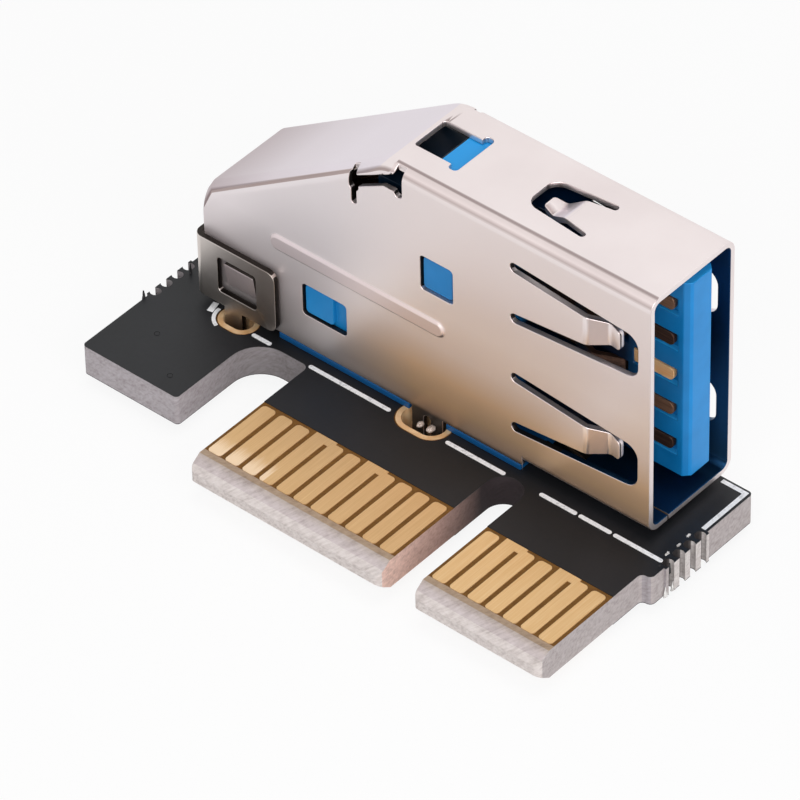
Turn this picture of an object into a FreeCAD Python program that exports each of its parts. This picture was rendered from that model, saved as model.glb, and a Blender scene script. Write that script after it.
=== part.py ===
"""Riser card: a x1 edge card that carries one upright USB 3.0 type A receptacle.

Frame: +Z up, the card lies flat. The origin is at the middle of the key notch, on the insertion edge,
half way through the board. +X runs along the fingers to the port's mouth, +Y away from the insertion edge.
All sizes are in millimetres.
"""

import FreeCAD
import Part

import math
import os

# Board outline
board_thickness = 1.6
board_depth = 14.15
long_tongue_fingers = 11
short_tongue_fingers = 7
finger_pitch = 1.0
tongue_margin = 0.55
key_width = 1.9
key_depth = 8.25
slot_width = 3.2
slot_depth = 8.15
slot_left_round = 0.5
slot_right_round = 0.11
block_width = 5.7
block_setback = 2.8
shoulder_width = 0.55
shoulder_setback = 7.05
bevel_length = 0.75
bevel_angle = 35.0
tongue_corner_radius = 0.35
board_corner_radius = 0.2

# Break-off remains on the left and right edge
bite_count = 4
bite_pitch = 0.75
bite_diameter = 0.55
bite_inset = 0.08
stub_reach = 0.12
left_bite_start = 7.65
right_bite_start = 8.3

# Films on the board
copper_thickness = 0.035
mask_thickness = 0.035
mask_setback = 5.1
mask_clearance = 0.06
ink_thickness = 0.02
ink_width = 0.22
ink_wall_gap = 0.62
ink_edge_gap = 0.12
ink_stub = 1.14
slot_ink_left = 0.19
slot_ink_right = 0.11
key_ink_left = 0.05
key_ink_right = 0.82
ink_break_width = 0.12
ink_breaks = (0.31, 0.59)
finger_width = 0.76
finger_start = 1.08
finger_end = 4.92
finger_corner = 0.2
finger_tip_corner = 0.15
bridge_width = 0.3
bridge_rise = 0.14

# Port shell, folded from sheet
sheet = 0.3
inner_bend = 0.35
mouth_setback = 1.55
near_wall_setback = 8.8
shell_width = 5.75
shell_height = 13.3
shell_standoff = 0.4
top_length = 15.0
roof_run = 10.8
roof_drop = 7.07
ridge_radius = 2.0
rear_fold_run = 0.25
rear_fold_drop = 0.45
rear_lip_height = 2.1
floor_length = 7.2
floor_seam_offset = 1.3
floor_seam_width = 0.08

# Springs cut from the shell
side_spring_setback = 7.53
side_spring_spacing = 6.3
side_spring_window = 6.85
side_spring_root_width = 3.4
side_spring_end_width = 2.3
side_beam_root_width = 2.35
side_beam_knee_width = 1.55
side_beam_tip_width = 1.0
side_beam_flat = 3.95
side_beam_dip = 0.95
edge_spring_setback = 5.2
edge_spring_window = 3.25
edge_spring_root_width = 2.6
edge_spring_end_width = 2.0
edge_beam_root_width = 1.95
edge_beam_knee_width = 1.5
edge_beam_tip_width = 0.75
edge_beam_flat = 1.25
edge_beam_dip = 0.85
edge_beam_depth = 0.5
spring_tongue_gap = 0.11
beam_tip_length = 0.65
beam_tip_rise = 0.18
spring_corner_radius = 0.7

# Windows, bead and corner relief of the shell
window_radius = 0.2
housing_window_setback = 12.0
housing_window_height = 8.15
housing_window_length = 1.86
housing_window_width = 1.93
spacer_window_setback = 18.65
spacer_window_height = 2.8
spacer_window_length = 2.6
spacer_window_width = 1.8
top_window_setback = 13.41
top_window_length = 2.65
top_window_width = 2.1
top_window_ear = 0.3
top_window_ear_length = 0.5
bead_setback = 16.65
bead_height = 5.35
bead_length = 10.2
bead_width = 0.9
bead_rise = 0.12
relief_lead = 0.87
relief_length = 2.57
relief_drop = 0.28
relief_slope = 0.55
relief_gap = 0.62
relief_flare = 0.3
relief_wedge = 0.85
relief_slot_width = 0.45
relief_slot_reach = 0.7
relief_tail_width = 0.3
relief_tail_reach = 0.95
relief_eye_width = 0.55
relief_eye_height = 1.05
relief_slot_depth = 0.4

# Legs of the shell and of the rear cover
leg_protrusion = 0.6
mid_leg_setback = 12.7
mid_leg_width = 1.8
fork_width = 0.42
leg_end_radius = 0.2
far_leg_inset = 1.1
rear_leg_setback = 2.0
rear_leg_width = 1.05
back_leg_width = 1.2
back_leg_offset = 1.0

# Rear cover, folded from the same sheet
cover_bend = 0.2
cover_clearance = 0.04
flap_gap = 0.12
flap_length = 4.6
flap_rise = 0.2
flap_height = 3.45
flap_corner_radius = 0.5
neck_margin = 0.5
neck_height = 1.1
lock_window_setback = 1.15
lock_window_length = 2.3
lock_window_height = 2.0
lock_window_rise = 0.75
lug_length = 1.75
lug_height = 1.3
lug_reach = 0.3

# Blue mouldings
moulding_clearance = 0.03
port_depth = 11.0
block_length = 2.45
ledge_length = 2.4
ledge_drop = 1.2
ledge_thickness = 0.8
base_gap = 0.1
base_length = 4.3
tongue_setback = 0.25
tongue_thickness = 1.84
tongue_width = 11.1
tongue_wall_gap = 0.66
tongue_chamfer = 0.3
barb_clearance = 0.1
barb_reach = 0.22
spacer_gap = 0.15
spacer_length = 6.95
spacer_foot_height = 1.6
spacer_tower_length = 3.7
spacer_tower_height = 4.4
spacer_tower_inset = 0.4
spacer_rail = 0.45
spacer_channel = 0.25

# Port contacts
contact_sheet = 0.25
contact_width = 0.7
contact_strip_width = 0.45
contact_bend = 0.2
superspeed_pitch = 2.0
superspeed_setback = 0.85
superspeed_pad_length = 2.2
superspeed_depth = 0.8
superspeed_recess = 0.04
usb2_inner_pitch = 2.0
usb2_outer_pitch = 2.5
usb2_setback = 3.6
usb2_bump_length = 2.8
usb2_bump_height = 0.45
usb2_recess = 0.15
groove_margin = 0.12
groove_end = 0.25
fan_start_gap = 1.0
fan_fraction = 0.4
superspeed_row_inset = 1.35
superspeed_tail_pitch = 1.3
usb2_row_inset = 1.45
usb2_tail_lag = 0.4
usb2_tail_pitch = 1.5
tail_width = 0.35
tail_protrusion = 0.45
tail_ring_gap = 0.2

# Plated holes and solder
plating = 0.05
leg_slot_clearance = 0.25
near_slot_room = 0.9
far_slot_width = 0.95
leg_ring = 0.2
flap_slot_width = 1.1
flap_slot_margin = 0.05
flap_slot_spare = 0.45
back_slot_width = 0.7
rear_ring = 0.2
signal_hole = 0.62
signal_ring = 0.22
solder_height = 0.38
solder_top_margin = 0.1

V = FreeCAD.Vector

# Places that follow from the sizes
board_top = board_thickness / 2
board_bottom = -board_thickness / 2
first_finger = key_width / 2 + tongue_margin
long_tongue_left = -(first_finger + (long_tongue_fingers - 1) * finger_pitch + tongue_margin)
short_tongue_right = first_finger + (short_tongue_fingers - 1) * finger_pitch + tongue_margin
block_right = long_tongue_left - slot_width
board_left = block_right - block_width
board_right = short_tongue_right + shoulder_width
slot_left_radius = slot_width * slot_left_round
slot_right_radius = slot_width * slot_right_round
seat = board_top + max(copper_thickness, mask_thickness)

mouth = board_right - mouth_setback
ridge = mouth - top_length
shell_rear = ridge - roof_run
near_wall = near_wall_setback
far_wall = near_wall + shell_width
shell_mid_y = (near_wall + far_wall) / 2
shell_bottom = board_top + shell_standoff
shell_top = shell_bottom + shell_height
shell_mid_z = (shell_bottom + shell_top) / 2
roof_slope = roof_drop / roof_run
outer_bend = inner_bend + sheet
near_inside = near_wall + sheet
far_inside = far_wall - sheet
floor_rear = mouth - floor_length
side_beam_depth = tongue_wall_gap - spring_tongue_gap
mid_leg = mouth - mid_leg_setback
leg_tip = board_bottom - leg_protrusion
far_leg_middle = far_inside + sheet / 2 - far_leg_inset

cover_back = shell_rear - cover_clearance
near_flap = near_wall - flap_gap
far_flap = far_wall + flap_gap
flap_bottom = shell_bottom + flap_rise
rear_leg = cover_back + rear_leg_setback
back_leg = shell_mid_y + back_leg_offset

block_front = mouth - port_depth
housing_rear = block_front - block_length
tongue_tip = mouth - tongue_setback
tongue_back_face = far_inside - tongue_wall_gap
tongue_face = tongue_back_face - tongue_thickness
moulding_near = near_inside + moulding_clearance
moulding_far = far_inside - moulding_clearance
spacer_front = mid_leg - mid_leg_width / 2 - spacer_gap
spacer_rear = spacer_front - spacer_length
tower_rear = spacer_rear + spacer_tower_inset
tower_front = tower_rear + spacer_tower_length

superspeed_tip_radius = contact_width * 2 / 5
usb2_tip_radius = contact_width / 5
arm_bend = contact_bend / 4
superspeed_row = moulding_far - superspeed_row_inset
usb2_row = moulding_near + usb2_row_inset
fan_start = housing_rear - fan_start_gap
tail_tip = board_bottom - tail_protrusion
leg_ring_front = mid_leg - mid_leg_width / 2 - leg_slot_clearance - plating - leg_ring
first_tail = leg_ring_front - tail_ring_gap - signal_hole / 2 - plating - signal_ring


# Shared builders


def on_z(z):
    return lambda u, v: V(u, v, z)


def on_y(y):
    return lambda u, v: V(u, y, v)


def on_x(x):
    return lambda u, v: V(x, u, v)


def outline(corners, place):
    """Closed wire through corners given as (u, v, radius), each rounded by its own radius."""
    arcs = []
    for index, (u, v, radius) in enumerate(corners):
        here = V(u, v, 0)
        before = V(*corners[index - 1][:2], 0) - here
        after = V(*corners[(index + 1) % len(corners)][:2], 0) - here
        half_angle = before.getAngle(after) / 2
        before.normalize()
        after.normalize()
        reach = radius / math.tan(half_angle)
        towards_centre = before + after
        if radius > 0:
            towards_centre.normalize()
        middle = here + towards_centre * (radius / math.sin(half_angle) - radius)
        arcs.append((here + before * reach, middle, here + after * reach, radius))
    edges = []
    for index, (start, middle, end, radius) in enumerate(arcs):
        if radius > 0:
            edges.append(Part.Arc(place(*start[:2]), place(*middle[:2]), place(*end[:2])).toShape())
        following = arcs[(index + 1) % len(arcs)][0]
        if (following - end).Length > 1e-6:
            edges.append(Part.LineSegment(place(*end[:2]), place(*following[:2])).toShape())
    return Part.Wire(edges)


def prism(corners, axis, start, stop):
    """Solid with the given rounded outline, from start to stop along the axis x, y or z."""
    place = {"x": on_x, "y": on_y, "z": on_z}[axis](start)
    direction = {"x": V(1, 0, 0), "y": V(0, 1, 0), "z": V(0, 0, 1)}[axis]
    return Part.Face(outline(corners, place)).extrude(direction * (stop - start))


def box(x0, x1, y0, y1, z0, z1):
    return Part.makeBox(x1 - x0, y1 - y0, z1 - z0, V(x0, y0, z0))


def rectangle(u0, u1, v0, v1, radius=0.0):
    return [(u0, v0, radius), (u1, v0, radius), (u1, v1, radius), (u0, v1, radius)]


def oblong(centre_u, centre_v, length_u, length_v):
    """Corners of a slot with fully round ends, or of a circle where both lengths are equal."""
    radius = min(length_u, length_v) / 2
    half_u = length_u / 2
    half_v = length_v / 2
    return rectangle(centre_u - half_u, centre_u + half_u, centre_v - half_v, centre_v + half_v, radius)


def offset_points(points, distance, closed):
    """Points of the line that runs beside the given one, to its left by the distance."""
    moved = []
    last = len(points) - 1
    for index, (u, v) in enumerate(points):
        here = V(u, v, 0)
        before = here - V(*points[index - 1], 0) if index > 0 or closed else None
        after = V(*points[(index + 1) % len(points)], 0) - here if index < last or closed else None
        normals = []
        for direction in (before, after):
            if direction is not None:
                direction.normalize()
                normals.append(V(-direction.y, direction.x, 0))
        middle = normals[0] + normals[-1]
        middle.normalize()
        shifted = here + middle * (distance / middle.dot(normals[0]))
        moved.append((shifted.x, shifted.y))
    return moved


def ribbon(points, thickness, bend):
    """Corners of a bent strip's section: it lies to the right of the line and keeps its thickness."""
    other_side = offset_points(points, -thickness, closed=False)
    near_side = []
    far_side = []
    for index, (u, v) in enumerate(points):
        near_radius = 0.0
        far_radius = 0.0
        if 0 < index < len(points) - 1:
            before = V(u, v, 0) - V(*points[index - 1], 0)
            after = V(*points[index + 1], 0) - V(u, v, 0)
            turns_left = before.cross(after).z > 0
            near_radius = bend if turns_left else bend + thickness
            far_radius = bend + thickness if turns_left else bend
        near_side.append((u, v, near_radius))
        far_side.append((*other_side[index], far_radius))
    return near_side + far_side[::-1]


def centred(points, width):
    """Line to start a ribbon from, so that the ribbon lies half on each side of the points."""
    return offset_points(points, width / 2, closed=False)


def mirrored(shape):
    """The same shape on the far side of the port."""
    return shape.mirror(V(0, shell_mid_y, 0), V(0, 1, 0))


def fused(shapes):
    first = shapes[0]
    return first.fuse(shapes[1:]).removeSplitter() if len(shapes) > 1 else first


def save(name, shapes):
    """One node: a single solid, or a group of separate like solids."""
    shape = shapes[0] if len(shapes) == 1 else Part.makeCompound(shapes)
    shape.exportStep(f"parts/{name}.step")


# Circuit board


def board_corners():
    """Outline from the back left corner, round the block, the long tongue, the key and the short tongue."""
    corner = board_corner_radius
    tip = tongue_corner_radius
    half_key = key_width / 2
    return [
        (board_left, board_depth, corner),
        (board_left, block_setback, corner),
        (block_right, block_setback, corner),
        (block_right, slot_depth, slot_left_radius),
        (long_tongue_left, slot_depth, slot_right_radius),
        (long_tongue_left, 0, tip),
        (-half_key, 0, tip),
        (-half_key, key_depth, half_key),
        (half_key, key_depth, half_key),
        (half_key, 0, tip),
        (short_tongue_right, 0, tip),
        (short_tongue_right, shoulder_setback, shoulder_width / 2),
        (board_right, shoulder_setback, shoulder_width / 2),
        (board_right, board_depth, corner),
    ]


def break_off(edge, outwards, first_bite):
    """Stub that stands out from one edge of the board, and the half holes that perforated it."""
    stub_end = first_bite + (bite_count - 1) * bite_pitch + bite_pitch / 2
    inner = edge - outwards * bite_diameter
    outer = edge + outwards * stub_reach
    stub = rectangle(min(inner, outer), max(inner, outer), first_bite - bite_pitch / 2, stub_end)
    centre = edge - outwards * bite_inset
    bites = [
        oblong(centre, first_bite + number * bite_pitch, bite_diameter, bite_diameter)
        for number in range(bite_count)
    ]
    return stub, bites


def board_plate(z0, z1):
    """The board's full outline between two heights, with the break-off remains and without any hole."""
    plate = prism(board_corners(), "z", z0, z1)
    for edge, outwards, first_bite in (
        (board_left, -1, left_bite_start),
        (board_right, 1, right_bite_start),
    ):
        stub, bites = break_off(edge, outwards, first_bite)
        plate = plate.fuse(prism(stub, "z", z0, z1))
        plate = plate.cut([prism(bite, "z", z0, z1) for bite in bites])
    return plate.removeSplitter()


def leg_slots():
    """Slots for the four legs: middle, length along X, length along Y, and width of the ring round it."""
    mid_length = mid_leg_width + 2 * leg_slot_clearance
    near_front = near_wall - near_slot_room
    near_back = near_inside + leg_slot_clearance
    near_middle = (near_front + near_back) / 2
    cover_middle = near_flap - sheet / 2
    back_middle = cover_back - sheet / 2
    flap_left = rear_leg - rear_leg_width / 2 - flap_slot_margin
    flap_right = rear_leg + rear_leg_width / 2 + flap_slot_spare
    flap_middle = (flap_left + flap_right) / 2
    back_length = back_leg_width + 2 * leg_slot_clearance
    return [
        (mid_leg, near_middle, mid_length, near_back - near_front, leg_ring),
        (mid_leg, far_leg_middle, mid_length, far_slot_width, leg_ring),
        (flap_middle, cover_middle, flap_right - flap_left, flap_slot_width, rear_ring),
        (back_middle, back_leg, back_slot_width, back_length, rear_ring),
    ]


def superspeed_tail(number):
    return first_tail - number * superspeed_tail_pitch


def usb2_tail(number):
    return first_tail - usb2_tail_lag - number * usb2_tail_pitch


def signal_holes():
    """Round holes for the nine contacts' tails, in the same form as the leg slots."""
    holes = [
        (superspeed_tail(number), superspeed_row, signal_hole, signal_hole, signal_ring)
        for number in range(5)
    ]
    holes += [(usb2_tail(number), usb2_row, signal_hole, signal_hole, signal_ring) for number in range(4)]
    return holes


def hole_cutters(holes, growth, z0, z1):
    return [
        prism(oblong(u, v, length_u + 2 * growth, length_v + 2 * growth), "z", z0, z1)
        for u, v, length_u, length_v, ring in holes
    ]


def circuit_board():
    nose = bevel_length * math.tan(math.radians(bevel_angle))
    section = [
        (0, board_bottom + nose, 0),
        (bevel_length, board_bottom, 0),
        (board_depth, board_bottom, 0),
        (board_depth, board_top, 0),
        (bevel_length, board_top, 0),
        (0, board_top - nose, 0),
    ]
    reach = board_right - board_left
    bevelled = prism(section, "x", board_left - reach, board_right + reach)
    board = board_plate(board_bottom, board_top).common(bevelled)
    return board.cut(hole_cutters(leg_slots() + signal_holes(), plating, board_bottom, board_top))


def solder_mask(z0, z1):
    """Coat over one face, open at the fingers and round every plated ring."""
    bare = box(block_right, board_right + slot_width, -slot_width, mask_setback, z0, z1)
    openings = [bare]
    for u, v, length_u, length_v, ring in leg_slots() + signal_holes():
        growth = 2 * (plating + ring + mask_clearance)
        openings.append(prism(oblong(u, v, length_u + growth, length_v + growth), "z", z0, z1))
    return board_plate(z0, z1).cut(openings)


def finger_places():
    long_tongue = [-first_finger - number * finger_pitch for number in range(long_tongue_fingers)][::-1]
    short_tongue = [first_finger + number * finger_pitch for number in range(short_tongue_fingers)]
    return long_tongue, short_tongue


def finger(x, z0, z1):
    """One gold finger, with slightly rounded corners. It starts a little behind the bevel."""
    half = finger_width / 2
    corners = [
        (x - half, finger_start, finger_tip_corner),
        (x + half, finger_start, finger_tip_corner),
        (x + half, finger_end, finger_corner),
        (x - half, finger_end, finger_corner),
    ]
    return prism(corners, "z", z0, z1)


def edge_contacts(z0, z1, bridged):
    """Fingers of one face. The pairs named by their first finger are joined at their inner ends."""
    solids = []
    for places, first_of_pairs in zip(finger_places(), bridged):
        number = 0
        while number < len(places):
            x = places[number]
            if number in first_of_pairs and number + 1 < len(places):
                left = x - finger_width / 2
                right = left + finger_pitch + finger_corner
                bridge = box(left, right, finger_end - bridge_width, finger_end + bridge_rise, z0, z1)
                solids.append(fused([finger(x, z0, z1), finger(x + finger_pitch, z0, z1), bridge]))
                number += 2
            else:
                solids.append(finger(x, z0, z1))
                number += 1
    return solids


def plated_holes(holes):
    """Barrel through the board with a ring on both faces, one for each hole."""
    solids = []
    for u, v, length_u, length_v, ring in holes:
        barrel_growth = 2 * plating
        ring_growth = 2 * (plating + ring)
        barrel_corners = oblong(u, v, length_u + barrel_growth, length_v + barrel_growth)
        barrel = prism(barrel_corners, "z", board_bottom, board_top)
        ring_corners = oblong(u, v, length_u + ring_growth, length_v + ring_growth)
        ring_top = board_top + copper_thickness
        ring_bottom = board_bottom - copper_thickness
        upper = prism(ring_corners, "z", board_top, ring_top)
        lower = prism(ring_corners, "z", ring_bottom, board_bottom)
        bore = prism(oblong(u, v, length_u, length_v), "z", ring_bottom, ring_top)
        solids.append(fused([barrel, upper, lower]).cut(bore))
    return solids


def corner_reach(radius, depth, y):
    """How far a notch's rounded corner has come in from the notch's wall at the place y."""
    past_centre = max(0.0, y - depth + radius)
    return radius - math.sqrt(max(0.0, radius**2 - past_centre**2))


def silkscreen_lines():
    """White outline round the port, broken at the slot, the key and the leg's ring, and twice more."""
    z0 = board_top + mask_thickness
    z1 = z0 + ink_thickness
    half = ink_width / 2
    front = near_wall - ink_wall_gap
    inset = ink_edge_gap + half
    ring_half = mid_leg_width / 2 + leg_slot_clearance + plating + leg_ring + ink_width
    right = board_right - inset
    back = board_depth - inset
    lower_side = front - half
    slot_left = block_right + corner_reach(slot_left_radius, slot_depth, lower_side)
    slot_right = long_tongue_left - corner_reach(slot_right_radius, slot_depth, lower_side)
    key_half = key_width / 2 - corner_reach(key_width / 2, key_depth, lower_side)
    stub_end = slot_left - slot_ink_left
    runs = [
        (stub_end - ink_stub, stub_end),
        (slot_right + slot_ink_right, mid_leg - ring_half),
        (mid_leg + ring_half, -key_half - key_ink_left),
    ]
    last_run = key_half + key_ink_right
    start = last_run
    for fraction in ink_breaks + (1.0,):
        stop = last_run + fraction * (right - last_run)
        runs.append((start, stop - ink_break_width / 2))
        start = stop + ink_break_width / 2
    lines = [prism(rectangle(u0, u1, front - half, front + half, half), "z", z0, z1) for u0, u1 in runs]
    last_bite = right_bite_start + (bite_count - 1) * bite_pitch
    clear_of_bites = last_bite + bite_diameter / 2 + ink_edge_gap
    corner = [
        (right - half, clear_of_bites, 0),
        (right + half, clear_of_bites, 0),
        (right + half, back + half, 0),
        (mouth, back + half, 0),
        (mouth, back - half, 0),
        (right - half, back - half, 0),
    ]
    return lines + [prism(corner, "z", z0, z1)]


# Port shell


def shell_profile(inset, front):
    """Side view of the shell: floor, mouth, flat top, roof, rear fold and rear, moved in by the inset."""
    fold = shell_top - roof_drop + rear_fold_run * roof_slope
    points = [
        (shell_rear, shell_bottom),
        (mouth, shell_bottom),
        (mouth, shell_top),
        (ridge, shell_top),
        (shell_rear + rear_fold_run, fold),
        (shell_rear, fold - rear_fold_drop),
    ]
    moved = offset_points(points, inset, closed=True)
    radii = [0, 0, 0, ridge_radius - inset, 0, 0]
    corners = []
    for (x, z), (inner_x, inner_z), radius in zip(points, moved, radii):
        corners.append((front if x == mouth else inner_x, inner_z, radius))
    return corners


def folded_block(inset, front, bend):
    """Solid inside the shell's profile, with its long edges bent to one radius."""
    block = prism(shell_profile(inset, front), "y", near_wall + inset, far_wall - inset)
    long_edges = []
    for edge in block.Edges:
        ends = [vertex.Point for vertex in edge.Vertexes]
        along_side = abs(ends[0].y - ends[1].y) < 1e-6
        if along_side and abs(ends[0].x - ends[1].x) > 1e-3:
            long_edges.append(edge)
    return block.makeFillet(bend, long_edges)


def spring(window, root_width, end_width, beam_root, beam_knee, beam_tip, flat, dip, depth):
    """Cut-out and bent beam of one contact spring.

    Local frame: +X from the root to the tip, +Y from the outside of the sheet inwards, Z across the beam.
    """
    window_corners = [
        (0, -root_width / 2, 0),
        (window, -end_width / 2, spring_corner_radius),
        (window, end_width / 2, spring_corner_radius),
        (0, root_width / 2, 0),
    ]
    slot = (root_width - beam_root) / 2
    slot_middle = (root_width + beam_root) / 4
    openings = [window_corners, oblong(0, -slot_middle, slot, slot), oblong(0, slot_middle, slot, slot)]
    cutter = fused([prism(corners, "y", -sheet, 2 * sheet) for corners in openings])
    tip = flat + dip + beam_tip_length
    tip_radius = beam_tip / 4
    line = [(-sheet, 0), (flat, 0), (flat + dip, depth), (tip, depth - beam_tip_rise)]
    across = max(root_width, beam_root)
    strip = prism(ribbon(offset_points(line, sheet, closed=False), sheet, inner_bend), "z", -across, across)
    shape = [
        (-sheet, -beam_root / 2, 0),
        (0, -beam_root / 2, 0),
        (flat, -beam_knee / 2, 0),
        (tip, -beam_tip / 2, tip_radius),
        (tip, beam_tip / 2, tip_radius),
        (flat, beam_knee / 2, 0),
        (0, beam_root / 2, 0),
        (-sheet, beam_root / 2, 0),
    ]
    beam = strip.common(prism(shape, "y", -depth - sheet, depth + 3 * sheet))
    return cutter, beam


def placed(shape, origin, along, inwards):
    """Copy of a shape from a spring's local frame, with its root at the origin."""
    across = along.cross(inwards)
    matrix = FreeCAD.Matrix(
        along.x, inwards.x, across.x, origin.x,
        along.y, inwards.y, across.y, origin.y,
        along.z, inwards.z, across.z, origin.z,
        0, 0, 0, 1,
    )
    copy = shape.copy()
    copy.Placement = FreeCAD.Placement(matrix)
    return copy


def shell_springs():
    """Two springs in each wide wall, one in the top and one in the floor."""
    side = spring(
        side_spring_window,
        side_spring_root_width,
        side_spring_end_width,
        side_beam_root_width,
        side_beam_knee_width,
        side_beam_tip_width,
        side_beam_flat,
        side_beam_dip,
        side_beam_depth,
    )
    edge = spring(
        edge_spring_window,
        edge_spring_root_width,
        edge_spring_end_width,
        edge_beam_root_width,
        edge_beam_knee_width,
        edge_beam_tip_width,
        edge_beam_flat,
        edge_beam_dip,
        edge_beam_depth,
    )
    forwards = V(1, 0, 0)
    rearwards = V(-1, 0, 0)
    side_root = mouth - side_spring_setback
    edge_root = mouth - edge_spring_setback
    places = []
    for z in (shell_mid_z - side_spring_spacing / 2, shell_mid_z + side_spring_spacing / 2):
        places.append((side, V(side_root, near_wall, z), forwards, V(0, 1, 0)))
        places.append((side, V(side_root, far_wall, z), forwards, V(0, -1, 0)))
    places.append((edge, V(edge_root, shell_mid_y, shell_top), rearwards, V(0, 0, -1)))
    places.append((edge, V(edge_root, shell_mid_y, shell_bottom), rearwards, V(0, 0, 1)))
    cutters = [placed(pair[0], origin, along, inwards) for pair, origin, along, inwards in places]
    beams = [placed(pair[1], origin, along, inwards) for pair, origin, along, inwards in places]
    return cutters, beams


def wall_window(setback, height, length, width, margin=0.0):
    """Corners, in side view, of a window in the wide walls."""
    x = mouth - setback
    z = shell_bottom + height
    half_length = length / 2 - margin
    half_width = width / 2 - margin
    return rectangle(x - half_length, x + half_length, z - half_width, z + half_width, window_radius)


def housing_window(margin=0.0):
    return wall_window(
        housing_window_setback, housing_window_height, housing_window_length, housing_window_width, margin
    )


def spacer_window(margin=0.0):
    return wall_window(
        spacer_window_setback, spacer_window_height, spacer_window_length, spacer_window_width, margin
    )


def middle_window(x0, x1, width):
    """Corners, in plan, of a window over the middle of the port."""
    return rectangle(x0, x1, shell_mid_y - width / 2, shell_mid_y + width / 2, window_radius)


def top_window():
    """Window in the flat top, with an ear on both sides of its front end."""
    front = mouth - top_window_setback + top_window_length / 2
    opening = middle_window(front - top_window_length, front, top_window_width)
    ears = middle_window(front - top_window_ear_length, front, top_window_width + 2 * top_window_ear)
    return [prism(corners, "z", shell_top - 2 * outer_bend, shell_top + sheet) for corners in (opening, ears)]


def corner_relief():
    """Cut in the wide wall below the roof's bend: a gap, an eye with a tail, and a wedge with a slot."""
    right = ridge + relief_lead
    left = right - relief_length
    wedge = right - relief_wedge
    right_line = shell_top - relief_drop
    left_line = right_line - relief_length * relief_slope
    wedge_line = right_line - relief_wedge * relief_slope
    slot_foot = right_line - relief_gap - relief_slot_reach
    tail_foot = left_line - relief_gap - relief_tail_reach
    slot_round = relief_slot_width / 2
    tail_round = relief_tail_width / 2
    gap = [
        (left, left_line - relief_gap, 0),
        (wedge, wedge_line - relief_gap, 0),
        (right, slot_foot + slot_round, 0),
        (right, right_line + relief_flare, 0),
        (right - relief_flare, right_line - relief_flare * relief_slope, 0),
        (left, left_line, 0),
    ]
    slot = [
        (right - slot_round, slot_foot, slot_round),
        (right + slot_round, slot_foot, slot_round),
        (right + slot_round, shell_top + sheet, 0),
        (right - slot_round, shell_top + sheet, 0),
    ]
    tail = [
        (left - tail_round, tail_foot, tail_round),
        (left + tail_round, tail_foot, tail_round),
        (left + tail_round, shell_top + sheet, 0),
        (left - tail_round, shell_top + sheet, 0),
    ]
    eye = oblong(left, left_line - relief_gap / 2, relief_eye_width, relief_eye_height)
    outside = near_wall - sheet
    inside = near_wall + relief_slot_depth
    return [prism(corners, "y", outside, inside) for corners in (gap, slot, tail, eye)]


def bead(outside, rise):
    """Long stiffening bead of one wide wall, raised from the given face towards the outside."""
    x = mouth - bead_setback
    z = shell_bottom + bead_height
    foot = outline(oblong(x, z, bead_length, bead_width), on_y(outside))
    crest_width = bead_width - 2 * bead_rise
    crest = outline(oblong(x, z, bead_length - 2 * bead_rise, crest_width), on_y(outside - rise))
    return Part.makeLoft([foot, crest], True)


def forked_leg():
    """Near leg: straight down from the wall, with two prongs that go through the board."""
    half = mid_leg_width / 2
    side_view = [
        (mid_leg - half, leg_tip, leg_end_radius),
        (mid_leg + half, leg_tip, leg_end_radius),
        (mid_leg + half, shell_bottom + sheet, 0),
        (mid_leg - half, shell_bottom + sheet, 0),
    ]
    fork_top = board_top + shell_standoff / 2
    fork = [
        (mid_leg - fork_width / 2, leg_tip - sheet, 0),
        (mid_leg + fork_width / 2, leg_tip - sheet, 0),
        (mid_leg + fork_width / 2, fork_top, fork_width / 2),
        (mid_leg - fork_width / 2, fork_top, fork_width / 2),
    ]
    return prism(side_view, "y", near_wall, near_inside).cut(prism(fork, "y", near_wall, near_inside))


def folded_in_leg():
    """Far leg: folded in under the wall so that it meets the board clear of its back edge."""
    half = mid_leg_width / 2
    line = [
        (far_wall, shell_bottom + sheet),
        (far_wall, shell_bottom - sheet),
        (far_leg_middle + sheet / 2, shell_bottom - sheet),
        (far_leg_middle + sheet / 2, leg_tip),
    ]
    fold = inner_bend / 4
    return prism(ribbon(line, sheet, fold), "x", mid_leg - half, mid_leg + half)


def lock_lug():
    """Lug lanced out of the near wall, which stands in the flap's locking window."""
    x0 = cover_back + lock_window_setback + lock_window_length / 2 - lug_length / 2
    z0 = flap_bottom + lock_window_rise + (lock_window_height - lug_height) / 2
    foot_reach = lug_reach / 3
    section = [
        (near_wall + sheet / 2, z0, 0),
        (near_wall + sheet / 2, z0 + lug_height, 0),
        (near_wall - lug_reach, z0 + lug_height, 0),
        (near_wall - foot_reach, z0, 0),
    ]
    return prism(section, "x", x0, x0 + lug_length)


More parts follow.
